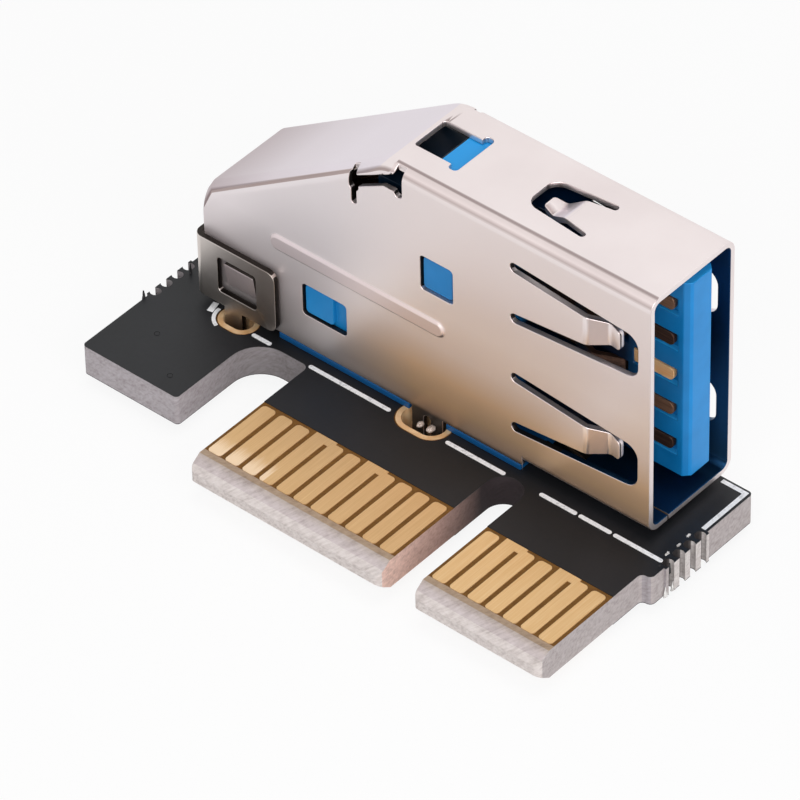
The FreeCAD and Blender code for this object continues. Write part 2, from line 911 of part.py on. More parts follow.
def port_shell():
    outer = folded_block(0.0, mouth, outer_bend)
    inner = folded_block(sheet, mouth + top_length, inner_bend)
    shell = outer.cut(inner)
    lower_bend = shell_bottom + outer_bend
    below = shell_bottom - sheet
    shell = shell.cut(box(shell_rear - sheet, floor_rear, near_wall, far_wall, below, lower_bend))
    near_edge = box(shell_rear, floor_rear, near_wall, near_inside, shell_bottom, lower_bend)
    shell = fused([shell, near_edge, mirrored(near_edge)])
    lip_bottom = shell_top - roof_drop - rear_lip_height
    past_rear = shell_rear + 2 * sheet
    shell = shell.cut(box(shell_rear - sheet, past_rear, near_inside, far_inside, below, lip_bottom))
    spring_cutters, spring_beams = shell_springs()
    across = (near_wall - 2 * sheet, far_wall + 2 * sheet)
    seam = near_wall + floor_seam_offset
    cutters = spring_cutters + [
        prism(housing_window(), "y", *across),
        prism(spacer_window(), "y", *across),
        *top_window(),
        box(floor_rear - sheet, mouth + sheet, seam, seam + floor_seam_width, below, shell_bottom + sheet),
    ]
    relief = corner_relief()
    cutters += relief + [mirrored(cutter) for cutter in relief]
    hollow = bead(near_inside, bead_rise)
    shell = shell.cut(cutters)
    added = spring_beams + [bead(near_wall, bead_rise), mirrored(bead(near_wall, bead_rise))]
    added += [forked_leg(), folded_in_leg(), lock_lug(), mirrored(lock_lug())]
    shell = fused([shell] + added)
    return shell.cut([hollow, mirrored(hollow)])


def rear_cover():
    """Back plate with two flaps round the shell's sides, a neck behind the roof's lip, and two legs."""
    flap_front = cover_back + flap_length
    flap_top = flap_bottom + flap_height
    inside = [
        (flap_front, far_flap),
        (cover_back, far_flap),
        (cover_back, near_flap),
        (flap_front, near_flap),
    ]
    wrap = prism(ribbon(inside, sheet, cover_bend), "z", flap_bottom, flap_top)
    corner = flap_corner_radius
    side_view = [
        (cover_back - 2 * sheet, flap_bottom, 0),
        (flap_front, flap_bottom, corner),
        (flap_front, flap_top, corner),
        (cover_back - 2 * sheet, flap_top, 0),
    ]
    across = (near_flap - 2 * sheet, far_flap + 2 * sheet)
    wrap = wrap.common(prism(side_view, "y", *across))
    lock_left = cover_back + lock_window_setback
    lock_bottom = flap_bottom + lock_window_rise
    lock_right = lock_left + lock_window_length
    lock = rectangle(lock_left, lock_right, lock_bottom, lock_bottom + lock_window_height, window_radius)
    wrap = wrap.cut(prism(lock, "y", *across))
    neck = box(
        cover_back - sheet,
        cover_back,
        near_wall + neck_margin,
        far_wall - neck_margin,
        flap_top - sheet,
        flap_top + neck_height,
    )
    half = rear_leg_width / 2
    flap_leg = prism(
        [
            (rear_leg - half, leg_tip, leg_end_radius),
            (rear_leg + half, leg_tip, leg_end_radius),
            (rear_leg + half, flap_bottom + sheet, 0),
            (rear_leg - half, flap_bottom + sheet, 0),
        ],
        "y",
        near_flap - sheet,
        near_flap,
    )
    half = back_leg_width / 2
    plate_leg = prism(
        [
            (back_leg - half, leg_tip, leg_end_radius),
            (back_leg + half, leg_tip, leg_end_radius),
            (back_leg + half, flap_bottom + sheet, 0),
            (back_leg - half, flap_bottom + sheet, 0),
        ],
        "x",
        cover_back - sheet,
        cover_back,
    )
    return fused([wrap, neck, flap_leg, plate_leg])


# Contacts of the port


def contact_heights():
    """Heights of the five front contacts and of the four deeper ones, from the board upwards."""
    superspeed = [shell_mid_z + (number - 2) * superspeed_pitch for number in range(5)]
    inner = usb2_inner_pitch / 2
    outer = inner + usb2_outer_pitch
    usb2 = [shell_mid_z + offset for offset in (-outer, -inner, inner, outer)]
    return superspeed, usb2


def contact(height, lowest, front_line, tip_radius, face, tail_x, row):
    """One stamped contact: front blade, fanned arm behind the housing, and a stepped tail in the board."""
    half = contact_width / 2
    tip = front_line[-1][0]
    blade = prism(ribbon(front_line, contact_sheet, contact_bend), "z", height - half, height + half)
    plan = [
        (fan_start - contact_width, height - half, 0),
        (tip, height - half, tip_radius),
        (tip, height + half, tip_radius),
        (fan_start - contact_width, height + half, 0),
    ]
    blade = blade.common(prism(plan, "y", face - port_depth, face + port_depth))
    turn = height - fan_fraction * (height - lowest)
    step_top = turn - contact_width
    arm_line = [(fan_start + contact_width, height), (fan_start, height), (tail_x, turn), (tail_x, step_top)]
    if abs(turn - height) < 1e-6:
        del arm_line[1]
    arm_corners = ribbon(centred(arm_line, contact_strip_width), contact_strip_width, arm_bend)
    arm = prism(arm_corners, "y", face, face + contact_sheet)
    row_face = row - contact_sheet / 2
    step_bottom = step_top - abs(row_face - face)
    tail_line = [
        (face, step_top + contact_strip_width),
        (face, step_top),
        (row_face, step_bottom),
        (row_face, tail_tip),
    ]
    flat_side = offset_points(tail_line, contact_sheet, closed=False)
    half_tail = tail_width / 2
    tail = prism(ribbon(flat_side, contact_sheet, contact_bend), "x", tail_x - half_tail, tail_x + half_tail)
    return fused([blade, arm, tail])


def superspeed_contacts():
    heights = contact_heights()[0]
    surface = tongue_face + superspeed_recess
    buried = surface + superspeed_depth
    tip = tongue_tip - superspeed_setback
    pad_start = tip - superspeed_pad_length
    contacts = []
    for number, height in enumerate(heights):
        line = [
            (fan_start, buried + contact_sheet),
            (pad_start - superspeed_depth, buried + contact_sheet),
            (pad_start, surface + contact_sheet),
            (tip, surface + contact_sheet),
        ]
        tail = superspeed_tail(number)
        contacts.append(
            contact(height, heights[0], line, superspeed_tip_radius, buried, tail, superspeed_row)
        )
    return contacts


def usb2_contacts():
    heights = contact_heights()[1]
    surface = tongue_face + usb2_recess
    tip = tongue_tip - usb2_setback
    bump_start = tip - usb2_bump_length
    crest = (bump_start + tip) / 2
    contacts = []
    for number, height in enumerate(heights):
        line = [
            (fan_start, surface + contact_sheet),
            (bump_start, surface + contact_sheet),
            (crest, surface + contact_sheet - usb2_recess - usb2_bump_height),
            (tip, surface + contact_sheet),
        ]
        contacts.append(
            contact(height, heights[0], line, usb2_tip_radius, surface, usb2_tail(number), usb2_row)
        )
    return contacts


# Blue mouldings


def barbs(window_corners):
    """Low block on both sides of a moulding, which shows in the shell's window."""
    near = prism(window_corners, "y", moulding_near - barb_reach, moulding_near + sheet)
    return [near, mirrored(near)]


def grooves():
    """Grooves of the tongue's contact face: short ones in front and open ones behind them."""
    superspeed, usb2 = contact_heights()
    half = contact_width / 2 + groove_margin
    cutters = []
    front_tip = tongue_tip - superspeed_setback
    front_floor = tongue_face + superspeed_recess + contact_sheet
    for height in superspeed:
        groove_start = front_tip - superspeed_pad_length
        corners = rectangle(groove_start, front_tip + groove_end, height - half, height + half)
        cutters.append(prism(corners, "y", tongue_face - sheet, front_floor))
    rear_tip = tongue_tip - usb2_setback
    rear_floor = tongue_face + usb2_recess + contact_sheet
    for height in usb2:
        corners = rectangle(block_front, rear_tip + groove_end, height - half, height + half)
        cutters.append(prism(corners, "y", tongue_face - sheet, rear_floor))
    return cutters


def foot_plate(x0, x1):
    """Foot of a moulding: it fills the gap between the walls' lower edges and the board."""
    return box(x0, x1, near_wall, far_wall, seat, shell_bottom - moulding_clearance)


def insulator_housing(contacts):
    block_bottom = shell_bottom + moulding_clearance
    block_top = shell_top - sheet - moulding_clearance
    edge = inner_bend
    section = [
        (moulding_near, block_bottom, 0),
        (moulding_far, block_bottom, 0),
        (moulding_far, block_top, edge),
        (moulding_near, block_top, edge),
    ]
    block = prism(section, "x", housing_rear, block_front)
    half_width = tongue_width / 2
    plan = [
        (housing_rear, tongue_face, 0),
        (tongue_tip - tongue_chamfer, tongue_face, 0),
        (tongue_tip, tongue_face + tongue_chamfer, 0),
        (tongue_tip, tongue_back_face - tongue_chamfer, 0),
        (tongue_tip - tongue_chamfer, tongue_back_face, 0),
        (housing_rear, tongue_back_face, 0),
    ]
    tongue = prism(plan, "z", shell_mid_z - half_width, shell_mid_z + half_width)
    base_front = floor_rear - base_gap
    base_rear = base_front - base_length
    base = box(base_rear, base_front, moulding_near, moulding_far, seat, shell_bottom + sheet)
    ledge_top = block_top - ledge_drop
    ledge = box(
        housing_rear - ledge_length,
        housing_rear,
        moulding_near + inner_bend,
        moulding_far - inner_bend,
        ledge_top - ledge_thickness,
        ledge_top,
    )
    pieces = [block, tongue, base, foot_plate(base_rear, base_front), ledge]
    body = fused(pieces + barbs(housing_window(barb_clearance)))
    return body.cut(grooves() + contacts)


def tail_spacer(contacts):
    foot_top = board_top + spacer_foot_height
    tower_top = board_top + spacer_tower_height
    profile = [
        (spacer_rear, seat, 0),
        (spacer_front, seat, 0),
        (spacer_front, foot_top, 0),
        (tower_front, foot_top, 0),
        (tower_front, tower_top, 0),
        (tower_rear, tower_top, 0),
        (tower_rear, foot_top, 0),
        (spacer_rear, foot_top, 0),
    ]
    body = prism(profile, "y", moulding_near, moulding_far)
    channel = box(
        spacer_rear,
        spacer_front,
        moulding_near + spacer_rail,
        moulding_far - spacer_rail,
        board_top,
        seat + spacer_channel,
    )
    body = fused([body, foot_plate(spacer_rear, spacer_front)] + barbs(spacer_window(barb_clearance)))
    return body.cut([channel] + contacts)


# Solder on the underside


def solder_joints(holes, legs):
    """Tapered joint below each ring, round the leg or tail that comes through it."""
    z0 = board_bottom - copper_thickness
    joints = []
    for u, v, length_u, length_v, ring in holes:
        growth = 2 * (plating + ring) - solder_top_margin
        wide = outline(oblong(u, v, length_u + growth, length_v + growth), on_z(z0))
        narrow = outline(oblong(u, v, length_u, length_v), on_z(z0 - solder_height))
        joints.append(Part.makeLoft([wide, narrow], True).cut(legs))
    return joints


def build():
    os.makedirs("parts", exist_ok=True)
    superspeed = superspeed_contacts()
    usb2 = usb2_contacts()
    contacts = superspeed + usb2
    shell = port_shell()
    cover = rear_cover()
    save("circuit_board", [circuit_board()])
    save("solder_mask_top", [solder_mask(board_top, board_top + mask_thickness)])
    save("solder_mask_bottom", [solder_mask(board_bottom - mask_thickness, board_bottom)])
    save("silkscreen_lines", silkscreen_lines())
    bridged_pairs = ((3, 6), (1, 4))
    save("edge_contacts_top", edge_contacts(board_top, board_top + copper_thickness, bridged_pairs))
    save("edge_contacts_bottom", edge_contacts(board_bottom - copper_thickness, board_bottom, ((), ())))
    save("leg_slot_plating", plated_holes(leg_slots()))
    save("signal_hole_plating", plated_holes(signal_holes()))
    save("port_shell", [shell])
    save("rear_cover", [cover])
    save("insulator_housing", [insulator_housing(contacts)])
    save("tail_spacer", [tail_spacer(contacts)])
    for number, shape in enumerate(superspeed, start=1):
        save(f"superspeed_contact_{number}", [shape])
    for number, shape in enumerate(usb2, start=1):
        save(f"usb2_contact_{number}", [shape])
    save("leg_solder", solder_joints(leg_slots(), [shell, cover]))
    save("signal_solder", solder_joints(signal_holes(), contacts))


build()
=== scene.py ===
"""Looks of a riser card: a black x1 edge card with one upright blue port in a bright nickel shell."""

import math

import bpy
from mathutils import Matrix, Vector


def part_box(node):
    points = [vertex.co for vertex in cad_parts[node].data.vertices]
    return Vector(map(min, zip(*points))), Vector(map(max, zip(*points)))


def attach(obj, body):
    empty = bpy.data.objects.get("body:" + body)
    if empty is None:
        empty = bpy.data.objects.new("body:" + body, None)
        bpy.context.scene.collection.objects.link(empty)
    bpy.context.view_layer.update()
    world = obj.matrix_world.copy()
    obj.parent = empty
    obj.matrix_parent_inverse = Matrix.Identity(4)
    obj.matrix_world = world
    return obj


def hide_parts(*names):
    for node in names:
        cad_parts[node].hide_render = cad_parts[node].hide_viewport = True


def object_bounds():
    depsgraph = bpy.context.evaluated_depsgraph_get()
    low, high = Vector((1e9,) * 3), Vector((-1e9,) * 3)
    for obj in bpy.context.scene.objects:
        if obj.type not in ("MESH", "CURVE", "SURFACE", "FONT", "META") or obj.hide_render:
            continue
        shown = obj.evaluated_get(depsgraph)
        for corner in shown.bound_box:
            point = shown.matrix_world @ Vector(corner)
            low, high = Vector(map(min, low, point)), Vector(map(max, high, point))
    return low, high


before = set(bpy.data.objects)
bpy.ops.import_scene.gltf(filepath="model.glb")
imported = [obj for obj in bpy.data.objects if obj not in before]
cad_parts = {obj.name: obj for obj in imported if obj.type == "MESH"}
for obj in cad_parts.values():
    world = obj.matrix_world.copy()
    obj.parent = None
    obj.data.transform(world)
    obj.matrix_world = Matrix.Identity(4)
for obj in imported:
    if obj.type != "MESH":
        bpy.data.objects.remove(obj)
cad_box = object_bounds()


# Circuit board: glass cloth pressed in epoxy, black-coated on both faces and routed to its outline. The
# routed edges are pale and fibrous, the tips of its tongues are milled to a bevel, and the bare resin
# between the gold fingers is brown.

mm = 0.001
crease = math.radians(40)


def linear(hex_colour):
    """Linear colour of an sRGB hex value, with full alpha."""
    channels = [int(hex_colour[place:place + 2], 16) / 255 for place in (1, 3, 5)]
    return [c / 12.92 if c <= 0.04045 else ((c + 0.055) / 1.055) ** 2.4 for c in channels] + [1.0]


def feed(node, settings):
    """Sets a node's properties, ramp stops and inputs, and links each input that a node or socket feeds.

    A node that feeds an input gives the first of its outputs in use.
    """
    for name, value in settings.items():
        if name == "stops":
            elements = node.color_ramp.elements
            while len(elements) < len(value):
                elements.new(0.5)
            for element, (position, hex_colour) in zip(elements, value):
                element.position = position
                element.color = linear(hex_colour)
            continue
        if isinstance(name, str) and hasattr(node, name):
            setattr(node, name, value)
            continue
        named = [socket for socket in node.inputs if socket.enabled and socket.name == name]
        socket = named[0] if named else node.inputs[name]
        if isinstance(value, bpy.types.Node):
            value = next(output for output in value.outputs if output.enabled)
        if isinstance(value, bpy.types.NodeSocket):
            node.id_data.links.new(value, socket)
        else:
            socket.default_value = value


def add(tree, kind, settings):
    """Adds one shader node to a tree, with its settings and links."""
    node = tree.nodes.new("ShaderNode" + kind)
    feed(node, settings)
    return node


def begin_material(name):
    """A new material with its node tree, its shader and its Object coordinates."""
    material = bpy.data.materials.new(name)
    material.use_nodes = True
    tree = material.node_tree
    place = add(tree, "TexCoord", {}).outputs["Object"]
    return material, tree, tree.nodes["Principled BSDF"], place


def dress(material, *names):
    """Gives the material to CAD pieces by name."""
    for name in names:
        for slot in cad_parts[name].material_slots:
            slot.material = material


# Glass epoxy laminate, routed: matt, with the layers of cloth as faint lines and torn fibres as mottling.
# Flat faces show brown resin, paler before the fingers. The bevels are nearly white and scratched from
# milling. Painted light: faces turned to the right and the tongue's front face are painted paler, the key's
# walls carry a warm painted reflection with painted shade deeper in, the slot's walls darken deeper in as
# painted shade, and the torn bites are white at the stubs' faces with painted shade behind.
glass_epoxy, tree, shader, place = begin_material("routed_glass_epoxy")
facing = add(tree, "SeparateXYZ", {"Vector": add(tree, "NewGeometry", {}).outputs["Normal"]}).outputs
on_board = add(tree, "SeparateXYZ", {"Vector": place}).outputs
upright = add(tree, "Math", {"operation": "ABSOLUTE", 0: facing["Z"]})
by_face = add(tree, "ValToRGB", {"Fac": upright, "stops": [
    (0.0, "#aaa4a8"), (0.6, "#aaa4a8"), (0.7, "#d2c8c4"), (0.93, "#d2c8c4"),
    (0.97, "#76501f"), (1.0, "#76501f")]})
board_top = 0.8 * mm
depth = add(tree, "Math", {"operation": "DIVIDE", 0: on_board["Z"], 1: board_top})
milled_tint = add(tree, "ValToRGB", {
    "Fac": depth, "stops": [(0.5, "#d9cecf"), (0.8, "#d0c5c4"), (1.0, "#bdafa6")]})
bevel_turn = 0.82
bevel_play = 0.1
sloped = add(tree, "Math", {"operation": "COMPARE", 0: upright, 1: bevel_turn, 2: bevel_play})
by_face = add(tree, "Mix", {"data_type": "RGBA", "Factor": sloped, "A": by_face, "B": milled_tint})
mostly = 0.7
# Painted light: faces turned to the right are painted paler.
lit_right_faces = add(tree, "Math", {"operation": "GREATER_THAN", 0: facing["X"], 1: mostly})
by_face = add(tree, "Mix", {"data_type": "RGBA", "Factor": lit_right_faces, "A": by_face, "B": linear("#bcb4b4")})
finger_start = 1.08 * mm
flat_turn = 0.97
bare = add(tree, "Math", {"operation": "LESS_THAN", 0: on_board["Y"], 1: finger_start})
flat = add(tree, "Math", {"operation": "GREATER_THAN", 0: upright, 1: flat_turn})
bare_strip = add(tree, "Math", {"operation": "MULTIPLY", 0: bare, 1: flat})
by_face = add(tree, "Mix", {"data_type": "RGBA", "Factor": bare_strip, "A": by_face, "B": linear("#b09a84")})
nose_depth = 0.3 * mm
tongue_left = -12.1 * mm
# Painted light: the tongue's front face is painted paler than the other edges.
at_front = add(tree, "Math", {"operation": "LESS_THAN", 0: on_board["Y"], 1: nose_depth})
on_tongue = add(tree, "Math", {"operation": "GREATER_THAN", 0: on_board["X"], 1: tongue_left})
lit_nose = add(tree, "Math", {"operation": "MULTIPLY", 0: at_front, 1: on_tongue})
by_face = add(tree, "Mix", {"data_type": "RGBA", "Factor": lit_nose, "A": by_face, "B": linear("#e2dad7")})
key_half_width = 0.97 * mm
key_depth = 8.2 * mm
key_end = 8.5 * mm
edge_turn = 0.5
across = add(tree, "Math", {"operation": "ABSOLUTE", 0: on_board["X"]})
in_key = add(tree, "Math", {"operation": "LESS_THAN", 0: across, 1: key_half_width})
in_front = add(tree, "Math", {"operation": "LESS_THAN", 0: on_board["Y"], 1: key_end})
in_key = add(tree, "Math", {"operation": "MULTIPLY", 0: in_key, 1: in_front})
on_edge = add(tree, "Math", {"operation": "LESS_THAN", 0: upright, 1: edge_turn})
key_wall = add(tree, "Math", {"operation": "MULTIPLY", 0: in_key, 1: on_edge})
inwards = add(tree, "Math", {"operation": "DIVIDE", 0: on_board["Y"], 1: key_depth})
# Painted light on the key's walls: a warm painted reflection near the front edge, and painted shade deeper
# in.
key_wall_painted_light = add(tree, "ValToRGB", {
    "Fac": inwards, "stops": [(0.15, "#ecccc0"), (0.5, "#bc9e95"), (0.85, "#332a2d")]})
coloured = add(tree, "Mix", {"data_type": "RGBA", "Factor": key_wall, "A": by_face, "B": key_wall_painted_light})
left_slot_end = -12.0 * mm
slot_fade_end = 11.5 * mm
in_slot = add(tree, "Math", {"operation": "LESS_THAN", 0: on_board["X"], 1: left_slot_end})
slot_fade = add(tree, "MapRange", {
    "Value": on_board["Y"], "From Min": key_end, "From Max": slot_fade_end, "To Min": 1.0, "To Max": 0.0})
in_slot = add(tree, "Math", {"operation": "MULTIPLY", 0: in_slot, 1: slot_fade})
slot_wall = add(tree, "Math", {"operation": "MULTIPLY", 0: in_slot, 1: on_edge})
# Painted shade: the slot's walls grow darker deeper in.
slot_painted_shade = add(tree, "ValToRGB", {
    "Fac": inwards, "stops": [(0.1, "#c0babf"), (0.4, "#b6b0b4"), (0.9, "#938e90")]})
coloured = add(tree, "Mix", {"data_type": "RGBA", "Factor": slot_wall, "A": coloured, "B": slot_painted_shade})
bites_left = 7.9 * mm
bites_front = 8.2 * mm
bites_back = 11.0 * mm
stub_face = 8.42 * mm
in_bites = add(tree, "Math", {"operation": "GREATER_THAN", 0: on_board["X"], 1: bites_left})
behind = add(tree, "Math", {"operation": "GREATER_THAN", 0: on_board["Y"], 1: bites_front})
before = add(tree, "Math", {"operation": "LESS_THAN", 0: on_board["Y"], 1: bites_back})
for share in (behind, before):
    in_bites = add(tree, "Math", {"operation": "MULTIPLY", 0: in_bites, 1: share})
outwards = add(tree, "Math", {"operation": "DIVIDE", 0: on_board["X"], 1: stub_face})
# White torn fibre at the stubs' faces; deeper in the bites the near black is painted shade.
torn_fibre_and_shade = add(tree, "ValToRGB", {
    "Fac": outwards, "stops": [(0.985, "#2c2829"), (1.0, "#6a6463"), (1.0, "#dcd6d4")]})
coloured = add(tree, "Mix", {"data_type": "RGBA", "Factor": in_bites, "A": coloured, "B": torn_fibre_and_shade})
layer_spacing = 0.2 * mm
fibre_length = 0.5 * mm
layered = add(tree, "Mapping", {
    "Vector": place, "Scale": (1 / fibre_length, 1 / fibre_length, 1 / layer_spacing)})
fibres = add(tree, "TexNoise", {"Vector": layered, "Scale": 1.0, "Detail": 6.0, "Roughness": 0.7})
scratch_width = 0.12 * mm
scratch_length = 0.7 * mm
scratch_turn = (0, math.radians(-26), math.radians(44))
milled = add(tree, "Mapping", {
    "vector_type": "TEXTURE", "Vector": place, "Rotation": scratch_turn,
    "Scale": (scratch_length, scratch_width, scratch_width)})
scratches = add(tree, "TexNoise", {"Vector": milled, "Scale": 1.0, "Detail": 3.0})
both = add(tree, "Math", {"operation": "ADD", 0: fibres, 1: scratches})
mean = add(tree, "Math", {"operation": "MULTIPLY", 0: both, 1: 0.5})
shade = add(tree, "ValToRGB", {
    "Fac": mean, "stops": [(0.34, "#c4bdbb"), (0.5, "#ebe8e7"), (0.64, "#ffffff")]})
coloured = add(tree, "Mix", {
    "data_type": "RGBA", "blend_type": "MULTIPLY", "Factor": 0.8, "A": coloured, "B": shade})
torn = add(tree, "Bump", {"Height": both, "Strength": 0.3, "Distance": 0.02 * mm})
feed(shader, {"Base Color": coloured, "Roughness": 0.75, "Specular IOR Level": 0.3, "Normal": torn})
dress(glass_epoxy, "circuit_board")


# Torn flakes: scraps of the coated laminate left standing where the break-off tabs were snapped. Thin,
# pointed and as black as the mask on them, with bare white glass too on the right.

scrap_sides = 6
scrap_thinness = (0.5, 1.0, 1.0)


def shaped(piece, material):
    """Settles a new piece: no place or turn of its own, smooth faces, its material and its ride."""
    bpy.ops.object.mode_set(mode="OBJECT")
    bpy.ops.object.transform_apply(location=True, rotation=True, scale=True)
    bpy.ops.object.shade_smooth_by_angle(angle=crease)
    piece.data.materials.append(material)
    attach(piece, "root")


def torn_scrap(name, material, root, length, width, blunt, lean, seed):
    """One scrap on its root, in mm: narrowed to its blunt share, flattened, roughened, its top leaning."""
    bpy.ops.object.select_all(action="DESELECT")
    middle = (root[0] * mm, root[1] * mm, (root[2] + length / 2) * mm)
    bpy.ops.mesh.primitive_cone_add(vertices=scrap_sides, radius1=width / 2 * mm,
                                    radius2=blunt * width / 2 * mm, depth=length * mm, location=middle)
    scrap = bpy.context.object
    scrap.name = name
    bpy.ops.object.mode_set(mode="EDIT")
    bpy.ops.mesh.select_all(action="SELECT")
    bpy.ops.mesh.subdivide(number_cuts=2)
    bpy.ops.transform.resize(value=scrap_thinness, center_override=middle)
    bpy.ops.transform.vertex_random(offset=width / 10 * mm, seed=seed)
    bpy.ops.object.mode_set(mode="OBJECT")
    for vertex in scrap.data.vertices:
        vertex.select = vertex.co.z > 0
    bpy.ops.object.mode_set(mode="EDIT")
    bpy.ops.mesh.select_mode(type="VERT")
    bpy.ops.transform.translate(value=[part * mm for part in lean])
    shaped(scrap, material)


# Torn laminate with its coat on: dull black, flecked with grey where the resin has crazed.
black_flake, tree, shader, place = begin_material("torn_black_laminate")
fleck_size = 0.1 * mm
flecks = add(tree, "TexNoise", {"Vector": place, "Scale": 1 / fleck_size, "Detail": 3.0})
flake_tint = add(tree, "ValToRGB", {"Fac": flecks, "stops": [(0.4, "#1b1a1c"), (0.75, "#4c4a4c")]})
feed(shader, {"Base Color": flake_tint, "Roughness": 0.7})
torn_scrap("left_flake_1", black_flake, root=(-20.96, 6.98, 0.6), length=0.62, width=0.3,
           blunt=0.15, lean=(-0.05, 0.03, 0.0), seed=1)
torn_scrap("left_flake_2", black_flake, root=(-20.4, 9.57, 0.6), length=0.8, width=0.26,
           blunt=0.15, lean=(-0.06, 0.03, 0.0), seed=2)
torn_scrap("right_flake_1", black_flake, root=(8.3, 7.95, 0.45), length=0.5, width=0.26,
           blunt=0.3, lean=(0.12, -0.1, 0.0), seed=7)
torn_scrap("right_flake_2", black_flake, root=(8.52, 8.3, 0.3), length=0.6, width=0.22,
           blunt=0.3, lean=(0.12, -0.05, 0.0), seed=8)

# Frayed glass fibre: white and matt, with the grey gaps between its strands.
white_fibre, tree, shader, place = begin_material("frayed_glass_fibre")
strand_width = 0.04 * mm
strand_length = 0.6 * mm
frayed = add(tree, "Mapping", {
    "Vector": place, "Scale": (1 / strand_width, 1 / strand_width, 1 / strand_length)})
strands = add(tree, "TexNoise", {"Vector": frayed, "Scale": 1.0, "Detail": 2.0})
fibre_tint = add(tree, "ValToRGB", {"Fac": strands, "stops": [(0.35, "#8d8683"), (0.6, "#f0eeec")]})
feed(shader, {"Base Color": fibre_tint, "Roughness": 0.8})
torn_scrap("right_fibre_1", white_fibre, root=(8.11, 8.7, 0.3), length=0.56, width=0.42,
           blunt=0.7, lean=(0.04, 0.0, 0.0), seed=3)
torn_scrap("right_fibre_2", white_fibre, root=(8.14, 9.44, 0.3), length=0.57, width=0.4,
           blunt=0.7, lean=(0.05, 0.02, 0.0), seed=4)
torn_scrap("right_fibre_3", white_fibre, root=(8.09, 10.23, 0.3), length=0.56, width=0.4,
           blunt=0.7, lean=(0.04, -0.02, 0.0), seed=5)
torn_scrap("right_fibre_4", white_fibre, root=(8.45, 8.62, -0.75), length=0.5, width=0.34,
           blunt=0.2, lean=(0.2, -0.1, -0.1), seed=6)
torn_scrap("right_fibre_5", white_fibre, root=(8.5, 8.05, -0.75), length=0.6, width=0.3,
           blunt=0.3, lean=(0.18, -0.1, -0.1), seed=9)


# Solder mask: a black photo-cured epoxy coat, screened over both faces and open at the fingers and rings.
# It has a soft satin gloss with a faint orange-peel from the screen.

# Cured epoxy ink: nearly black, a little cloudy, and dimpled so that its gloss breaks up.
black_mask, tree, shader, place = begin_material("satin_black_solder_mask")
cloud_size = 4.0 * mm
cloud = add(tree, "TexNoise", {"Vector": place, "Scale": 1 / cloud_size, "Detail": 3.0})
mask_tint = add(tree, "ValToRGB", {"Fac": cloud, "stops": [(0.35, "#111215"), (0.65, "#17181c")]})
peel_size = 0.22 * mm
peel = add(tree, "TexNoise", {"Vector": place, "Scale": 1 / peel_size, "Detail": 2.0})
satin = add(tree, "MapRange", {"Value": peel, "To Min": 0.4, "To Max": 0.52})
dimpled = add(tree, "Bump", {"Height": peel, "Strength": 0.15, "Distance": 0.01 * mm})
feed(shader, {"Base Color": mask_tint, "Specular IOR Level": 0.38, "Roughness": satin, "Normal": dimpled})
dress(black_mask, "solder_mask_top", "solder_mask_bottom")


# Tented vias: three small plated holes, drilled through the laminate and closed over by the mask when it
# was screened on. Each is a low rim round a dimple, the whole of it painted near black as shade for the
# dimple.

via_width = 0.27 * mm
via_sides = 20
via_rise = 0.012 * mm
via_places = [(-20.49, 3.81), (-18.85, 5.5), (-16.48, 3.73)]
dimple_rim = 0.03 * mm
dimple_depth = 1.6 * via_rise
mask_face = 0.835 * mm
top_turn = 0.9

# Mask film sunk into a hole: duller than the mask beside it, and painted near black as shade for the dimple.
shaded_dimple, tree, shader, place = begin_material("shaded_via_mask")
film_size = 0.08 * mm
film = add(tree, "TexNoise", {"Vector": place, "Scale": 1 / film_size, "Detail": 2.0})
via_shade_tint = add(tree, "ValToRGB", {"Fac": film, "stops": [(0.3, "#060606"), (0.7, "#0e0d0e")]})
feed(shader, {"Base Color": via_shade_tint, "Roughness": 0.6, "Specular IOR Level": 0.15})
for number, (via_x, via_y) in enumerate(via_places, start=1):
    bpy.ops.object.select_all(action="DESELECT")
    bpy.ops.mesh.primitive_cylinder_add(vertices=via_sides, radius=via_width / 2, depth=2 * via_rise,
                                        location=(via_x * mm, via_y * mm, mask_face))
    via = bpy.context.object
    via.name = f"tented_via_{number}"
    bpy.ops.object.mode_set(mode="OBJECT")
    for face in via.data.polygons:
        face.select = face.normal.z > top_turn
    bpy.ops.object.mode_set(mode="EDIT")
    bpy.ops.mesh.select_mode(type="FACE")
    bpy.ops.mesh.inset(thickness=dimple_rim)
    bpy.ops.transform.translate(value=(0, 0, -dimple_depth))
    shaped(via, shaded_dimple)


# Printed outline: white epoxy ink, screen-printed on the mask round the port. Matt, and a little thin in
# places so that the black shows through as grey.

# Screened ink: white with a fine grey grain from the mesh.
white_ink, tree, shader, place = begin_material("screened_white_ink")
ink_grain_size = 0.18 * mm
ink_grain = add(tree, "TexNoise", {"Vector": place, "Scale": 1 / ink_grain_size, "Detail": 4.0})
ink_tint = add(tree, "ValToRGB", {"Fac": ink_grain, "stops": [(0.3, "#d2d2d5"), (0.5, "#f4f4f6")]})
feed(shader, {"Base Color": ink_tint, "Roughness": 0.65})
dress(white_ink, "silkscreen_lines")


# Printed mark by the rear leg: a short dash and a thin curved line beside the rear ring, in the same ink.
# The curve is spun from one small section.

ink_face = 0.85 * mm
ink_height = 0.03 * mm
dash_length = 0.66 * mm
dash_width = 0.3 * mm
dash_corner = 0.1 * mm
dash_middle = (-18.1 * mm, 8.47 * mm, ink_face)
dash_turn = math.radians(14)
bpy.ops.object.select_all(action="DESELECT")
bpy.ops.mesh.primitive_cube_add(size=1, location=dash_middle)
dash = bpy.context.object
dash.name = "printed_dash"
bpy.ops.object.mode_set(mode="EDIT")
bpy.ops.mesh.select_all(action="SELECT")
bpy.ops.transform.resize(value=(dash_width, dash_length, ink_height), center_override=dash_middle)
bpy.ops.transform.rotate(value=-dash_turn, orient_axis="Z", center_override=dash_middle)
bpy.ops.mesh.bevel(offset=dash_corner, segments=3, affect="EDGES", clamp_overlap=True)
shaped(dash, white_ink)

